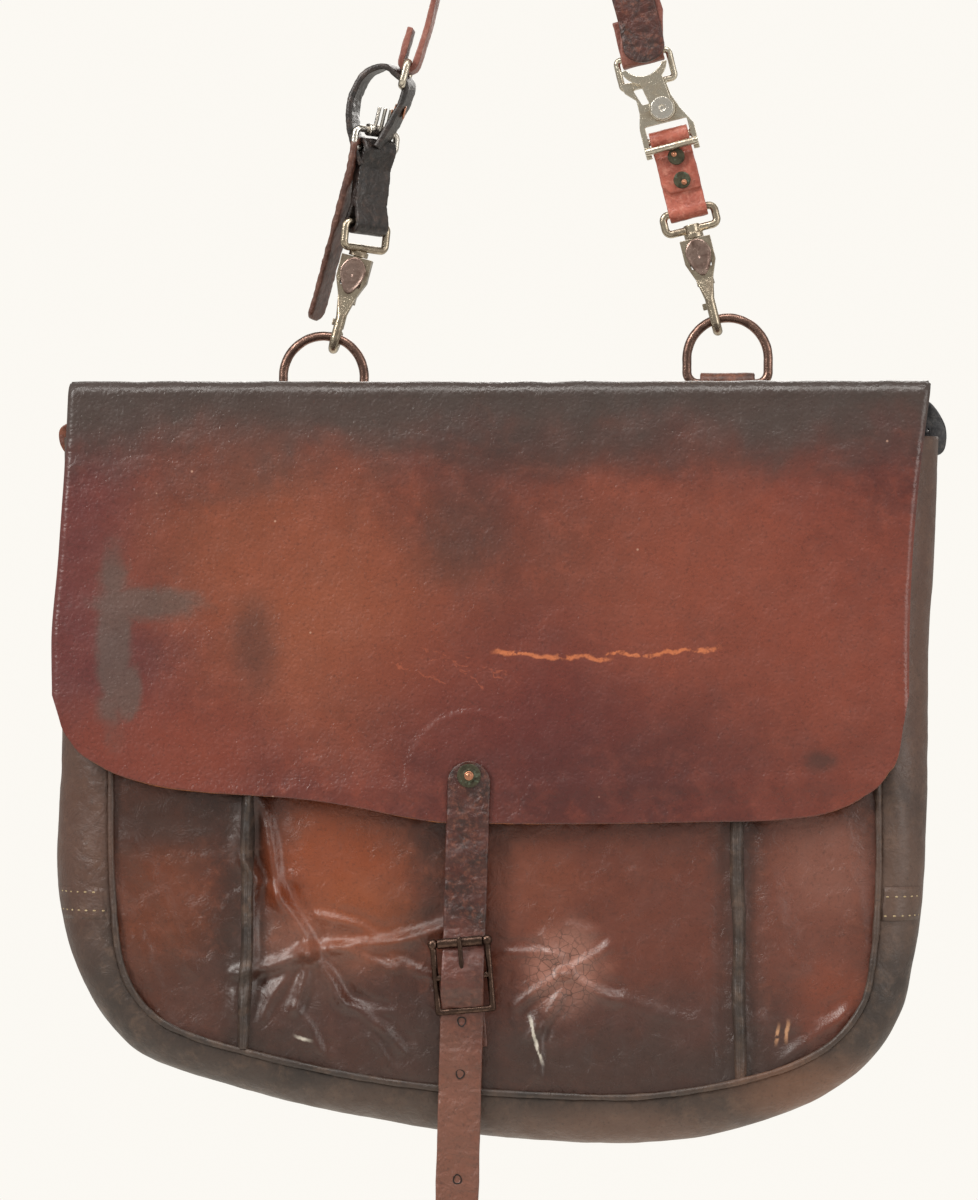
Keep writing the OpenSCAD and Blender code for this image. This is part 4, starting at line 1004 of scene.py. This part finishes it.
def closing():
    """The closing strap along its CAD path, lying on the flap at its top."""
    body = []
    co = cad_points("closing_strap")
    zs = np.linspace(-44.0, 189.5, 150)
    for z in zs:
        near = co[np.abs(co[:, 2] - z) < 9.0]
        body.append((z, near[:, 1].mean() if len(near) else np.nan))
    body = np.array(body)
    ok = ~np.isnan(body[:, 1])
    y = np.interp(zs, body[ok, 0], body[ok, 1])
    y = np.convolve(np.pad(y, 3, mode="edge"), np.ones(7) / 7, mode="valid")
    on_flap = smooth((zs - 152) / 10.0)
    y = y * (1 - on_flap) + (face_y(zs) - 6.0 - 1.5 - 1.35 - 0.5) * on_flap
    path = np.stack([[strap_x(z) for z in zs], y, zs], 1)[::-1]
    fine = path_through(path, 320)

    def widths(t, w):
        end = np.clip(t / 0.045, 0, 1)
        tail = np.clip((1 - t) / 0.045, 0, 1)
        return w * rounded(end, 0.04) * rounded(tail, 0.04)

    return strap("closing strap leather", fine, (1, 0, 0), 21.5, 2.5, 121, 0.6, widths, 18)


closing_obj = closing()
paint(closing_obj, M_STRAP)
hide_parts("closing_strap")
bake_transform(closing_obj)


def holes():
    """The strap's free holes: short dark tubes set in it below the buckle, closed at the bottom; their
    near-black colour is painted shade inside the holes.
    """
    co = cad_points("closing_strap")
    for k, z in enumerate((60.5, 34.5, 8.5, -18)):
        near = co[np.abs(co[:, 2] - z) < 4.0]
        y = near[:, 1].mean() if len(near) else -115.0
        ang = np.linspace(0, 2 * math.pi, 24, endpoint=False)
        rows = []
        for r, d in ((2.3, -1.33), (1.8, -1.36), (1.6, -0.9), (1.5, 0.6), (0.02, 0.7)):
            rr = r * (1 + 0.06 * np.sin(3 * ang + k))
            rows.append(np.stack([strap_x(z) + rr * np.cos(ang), y + d + 0 * ang,
                                  z + rr * 1.12 * np.sin(ang)], -1))
        o = grid_mesh("strap hole %d" % (k + 1), np.array(rows), wrap_v=True)
        paint(o, M_HOLE_SHADE)
        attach(o, "closing_strap")


# near-black leather for the strap holes: painted shade inside them
M_HOLE_SHADE = leather("hole", "strap_leather", (12, 8, 7), (24, 14, 11), (60, 32, 24), 3, 0.8, (0.6, 0.85),
                 0.3, 0.3, spots=0.2, coat=0.0)
holes()


def cad_box(node):
    """The node's own box in bag millimetres."""
    lo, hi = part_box(node)
    return np.array(lo) * 1000 + ORIGIN, np.array(hi) * 1000 + ORIGIN


def soften(node, mat, voxel=0.6, relief=0.12, grain=6.0, smooth_n=4, seed=0):
    """A CAD piece gets a dense mesh with rounded edges and an uneven worn surface."""
    src = frame["nodes"][node]
    tmp = new_object("tmp", src.data.copy())
    weld = tmp.modifiers.new("weld", "WELD")
    weld.merge_threshold = 0.00002
    rem = tmp.modifiers.new("remesh", "REMESH")
    rem.mode, rem.use_smooth_shade = "VOXEL", True
    rem.voxel_size = voxel / 1000.0 * 1.0
    sm = tmp.modifiers.new("smooth", "SMOOTH")
    sm.factor, sm.iterations = 0.5, smooth_n
    bpy.context.view_layer.update()
    mesh = bpy.data.meshes.new_from_object(tmp.evaluated_get(bpy.context.evaluated_depsgraph_get()))
    bpy.data.objects.remove(tmp)
    mesh.name = node + " finish"
    count = len(mesh.vertices)
    co, no = np.zeros(count * 3), np.zeros(count * 3)
    mesh.vertices.foreach_get("co", co)
    mesh.vertices.foreach_get("normal", no)
    co, no = co.reshape(-1, 3), no.reshape(-1, 3)
    keep_rest(mesh, co)
    d = relief * fbm(co * 1000.0, grain, 4, seed + 3) / 1000.0
    co += no * d[:, None]
    mesh.vertices.foreach_set("co", co.ravel())
    mesh.polygons.foreach_set("use_smooth", [True] * len(mesh.polygons))
    mesh.update()
    obj = new_object(node + "_finish", mesh)
    paint(obj, mat)
    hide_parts(node)
    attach(obj, src["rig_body"])
    return obj


LEATHERS = {
    "shoulder_strap": (M_SLING, "sling_leather"),
    "lower_strap_right": (M_SALMON, "sling_leather"), "lower_strap_left": (M_BLACK, "black_leather"),
    "buckle_chape": (M_STRAP, "body_leather"),
    "ring_chape_left": (M_BACK, "body_leather"), "ring_chape_right": (M_CHAPE, "body_leather"),
}
for k, (node, (mat, slot_)) in enumerate(LEATHERS.items()):
    soften(node, mat, 0.6, 0.22, 7.0, 3, k * 11)

METALS = {
    "d_ring_left": M_BRONZE, "d_ring_right": M_BRONZE, "buckle_frame": M_BUCKLE, "buckle_roller": M_BUCKLE,
    "buckle_prong": M_BUCKLE, "snap_hook_left": M_BRASS, "snap_hook_right": M_BRASS,
    "snap_gate_left": M_BRASS, "snap_gate_right": M_BRASS,
    "snap_gate_pin_left": M_NICKEL, "snap_gate_pin_right": M_NICKEL,
    "swivel_eye_left": M_BRASS, "swivel_loop_right": M_BRASS, "strap_link": M_NICKEL,
    "quick_release_frame": M_NICKEL, "quick_release_lever": M_NICKEL, "quick_release_rivet": M_SILVER,
    "adjuster_frame": M_SILVER, "adjuster_fork": M_SILVER, "adjuster_loop_rivet": M_COPPER,
    "lower_strap_rivets": M_VERD, "closing_strap_rivet": M_VERD, "ring_chape_rivets": M_COPPER,
    "buckle_chape_rivet": M_COPPER,
}
# pieces that turn on each other with little play keep their CAD surfaces more closely
CLOSE_FITS = ("snap_hook", "snap_gate", "swivel")
for k, (node, mat) in enumerate(METALS.items()):
    close_fit = node.startswith(CLOSE_FITS)
    soften(node, mat, 0.22 if close_fit else 0.3, 0.02 if close_fit else 0.07, 3.0, 2,
           200 + k * 7)


# ---------------------------------------------------------------- curved straps of the sling
def round_ends(t, w):
    e = np.clip(np.minimum(t / 0.05, (1 - t) / 0.05), 0, 1)
    return w * rounded(e, 0.03)


def one_round_end(t, w):
    e = np.clip((1 - t) / 0.16, 0, 1)
    return w * rounded(e, 0.03)


tail_path = [(-71, -2, 508), (-74, -1, 492), (-78.5, 2, 476), (-83.5, 5, 458), (-88.5, 9, 441),
             (-93, 12, 425), (-96.5, 14, 414)]
tail = strap("strap_tail_leather", path_through(tail_path, 120), (0.24, 0.97, 0.02), 21, 3.2, 151, 0.5,
             round_ends)
paint(tail, M_TAIL)
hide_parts("strap_tail")
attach(tail, "strap")

loop_path = [(-69, -0.5, 493), (-73, 0, 503), (-75.5, 0, 516), (-73.5, 0, 530), (-66, 0, 541),
             (-57, 0, 543.5), (-50.8, 0, 539.2), (-46.6, 0, 535), (-48.0, 0, 527), (-53, 0, 517),
             (-58, -0.5, 508), (-62, -1, 501)]
loop = strap("adjuster_loop_leather", path_through(loop_path, 200), (0.16, 0.98, 0.05), 20, 3.4, 161, 0.45)
paint(loop, M_BLACK)
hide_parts("adjuster_loop")
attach(loop, "strap")

fold_path = [(64.5, -4.6, 596), (68.5, -4.9, 580), (73, -5.6, 562), (76, -7.4, 545)]
fold = strap("strap_fold_end", path_through(fold_path, 90), (0.97, 0, 0.24), 21.5, 2.6, 171, 0.4,
             one_round_end)
paint(fold, M_STRAP)
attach(fold, "strap")


BULB_D = 11.0


def cover(name, grip, lean, body):
    """The closed faces of a snap hook's bulb, front and back."""
    gx, gz = grip
    c_, s_ = math.cos(lean), math.sin(lean)
    verts, faces = [], []
    for side in (-1, 1):
        rows = []
        for k in range(9):
            t = k / 8.0
            ang = np.linspace(0, 2 * math.pi, 48, endpoint=False)
            lz = 33.0 + 9.6 * t * np.sin(ang)
            half = np.clip(3.9 + 3.4 * (lz - 23.0) / 14.0, 3.4, 7.0)
            lx = half * t * np.cos(ang) * 0.98
            dish = 0.9 * (1 - smooth((1 - t) / 0.3)) - 0.2
            ly = side * (BULB_D / 2 + 0.15 + dish * 0.6) * np.ones(48)
            rows.append(np.stack([gx + lx * c_ + lz * s_, ly, gz - lx * s_ + lz * c_], -1))
        faces += quads(9, 48, True, side > 0, len(verts))
        verts.extend(np.array(rows).reshape(-1, 3).tolist())
    o = add_mesh(name, np.array(verts), faces)
    thicken(o, 0.8, 0.0)
    paint(o, M_BULB)
    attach(o, body)


cover("hook_left_faces", (-84.057, 404.08), math.radians(15), "hook_left")
cover("hook_right_faces", (111.057, 413.08), math.radians(-14), "hook_right")


# ---------------------------------------------------------------- small leather parts
def ear(name, pts, mat, y, bend):
    """A corner of the gusset's top edge that sticks out beside the flap."""
    pts = np.array(pts, float)
    c = pts.mean(0)
    centre = np.array([c[0], 0, c[1]])
    n, rings = len(pts) * 6, 9
    closed = np.vstack([pts, pts[:1]])
    edge = path_through(np.stack([closed[:, 0], 0 * closed[:, 0], closed[:, 1]], 1), n + 1)[:-1]
    rows = []
    for k in range(rings + 1):
        t = k / rings
        p = centre + (edge - centre) * 0.02 if k == 0 else centre * (1 - t) + edge * t
        q = p.copy()
        q[:, 1] = y + bend * ((p[:, 0] - c[0]) / 8.0) ** 2 + 1.2 * fbm(p, 8.0, 3, 131) * t
        rows.append(q)
    o = grid_mesh(name, np.array(rows), wrap_v=True)
    thicken(o, 2.2, 0.0, rim=1)
    paint(o, mat, M_EDGE)
    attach(o, "bag")


ear("left ear", [(-210, 345), (-217, 344), (-220.5, 350), (-220, 357), (-216, 359.5), (-210, 358)],
    M_EARL, -52, 2.0)
ear("right ear", [(212, 340), (219, 342), (226, 344), (228.5, 352), (226, 362), (220, 370), (214, 373),
                  (211, 360)], M_EARR, -40, 1.5)


def burr(name, x, y, z, r, body):
    """The copper burr in the middle of a washer: a low dome with a ring round it."""
    ang = np.linspace(0, 2 * math.pi, 32, endpoint=False)
    rows = []
    for rr, h in ((1.0, 0.0), (0.96, 0.35), (0.8, 0.62), (0.62, 0.5), (0.5, 0.75), (0.3, 0.95),
                  (0.02, 1.0)):
        rows.append(np.stack([x + r * rr * np.cos(ang), y - h + 0 * ang, z + r * rr * np.sin(ang)], -1))
    o = grid_mesh(name, np.array(rows), wrap_v=True)
    paint(o, M_COPPER)
    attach(o, body)


rl, rh = cad_box("closing_strap_rivet")
burr("closing_strap_burr", (rl[0] + rh[0]) / 2, rl[1] + 0.1, (rl[2] + rh[2]) / 2, 2.4, "flap_front")
rl, rh = cad_box("lower_strap_rivets")
for k_, z_ in enumerate((rl[2] + 3.3, rh[2] - 3.3)):
    x_ = (rh[0] - 3.3) if k_ == 0 else (rl[0] + 3.3)
    burr("lower_strap_burr_%d" % k_, x_, rl[1] + 0.05, z_, 1.5, "strap")

# ---------------------------------------------------------------- stage and light
floor_z = float(low0[2]) - 1.9
bpy.ops.mesh.primitive_plane_add(size=14, location=(0, 0, floor_z))
floor = bpy.context.object
floor.name = "floor"
mf = bpy.data.materials.new("floor")
mf.use_nodes = True
bf = mf.node_tree.nodes["Principled BSDF"]
bf.inputs["Base Color"].default_value = srgb(246, 242, 234)
bf.inputs["Roughness"].default_value = 0.9
bf.inputs["Emission Color"].default_value = srgb(250, 246, 238)
bf.inputs["Emission Strength"].default_value = 0.35
floor.data.materials.append(mf)

world = bpy.data.worlds.new("world")
bpy.context.scene.world = world
world.use_nodes = True
bg = world.node_tree.nodes["Background"]
bg.inputs["Color"].default_value = srgb(255, 251, 243)
bg.inputs["Strength"].default_value = 0.45
seen = world.node_tree.nodes.new("ShaderNodeBackground")
seen.inputs["Color"].default_value = srgb(255, 252, 246)
seen.inputs["Strength"].default_value = 0.97
either = world.node_tree.nodes.new("ShaderNodeMixShader")
path_node = world.node_tree.nodes.new("ShaderNodeLightPath")
link = world.node_tree.links.new
link(path_node.outputs["Is Camera Ray"], either.inputs[0])
link(bg.outputs[0], either.inputs[1])
link(seen.outputs[0], either.inputs[2])
link(either.outputs[0], world.node_tree.nodes["World Output"].inputs["Surface"])


def area(name, loc, aim, size, power, color=(1, 0.97, 0.93)):
    l_ = bpy.data.lights.new(name, "AREA")
    l_.shape, l_.size, l_.size_y, l_.energy, l_.color = "RECTANGLE", size[0], size[1], power, color
    o = new_object(name, l_)
    o.location = loc
    o.rotation_euler = (Vector(aim) - Vector(loc)).to_track_quat("-Z", "Y").to_euler()


area("key", (-1.5, -1.15, 0.75), (0, -0.05, -0.45), (0.5, 1.1), 30)
area("fill", (1.7, -1.0, 0.0), (0, 0, -0.5), (0.9, 1.4), 11)
area("top", (0.1, -0.75, 1.25), (0, -0.05, -0.5), (1.4, 0.5), 16)
area("rear", (0.3, 1.9, 0.5), (0, 0, -0.5), (1.4, 1.2), 14)
bpy.context.scene.view_settings.view_transform = "Standard"
bpy.context.scene.view_settings.look = "None"
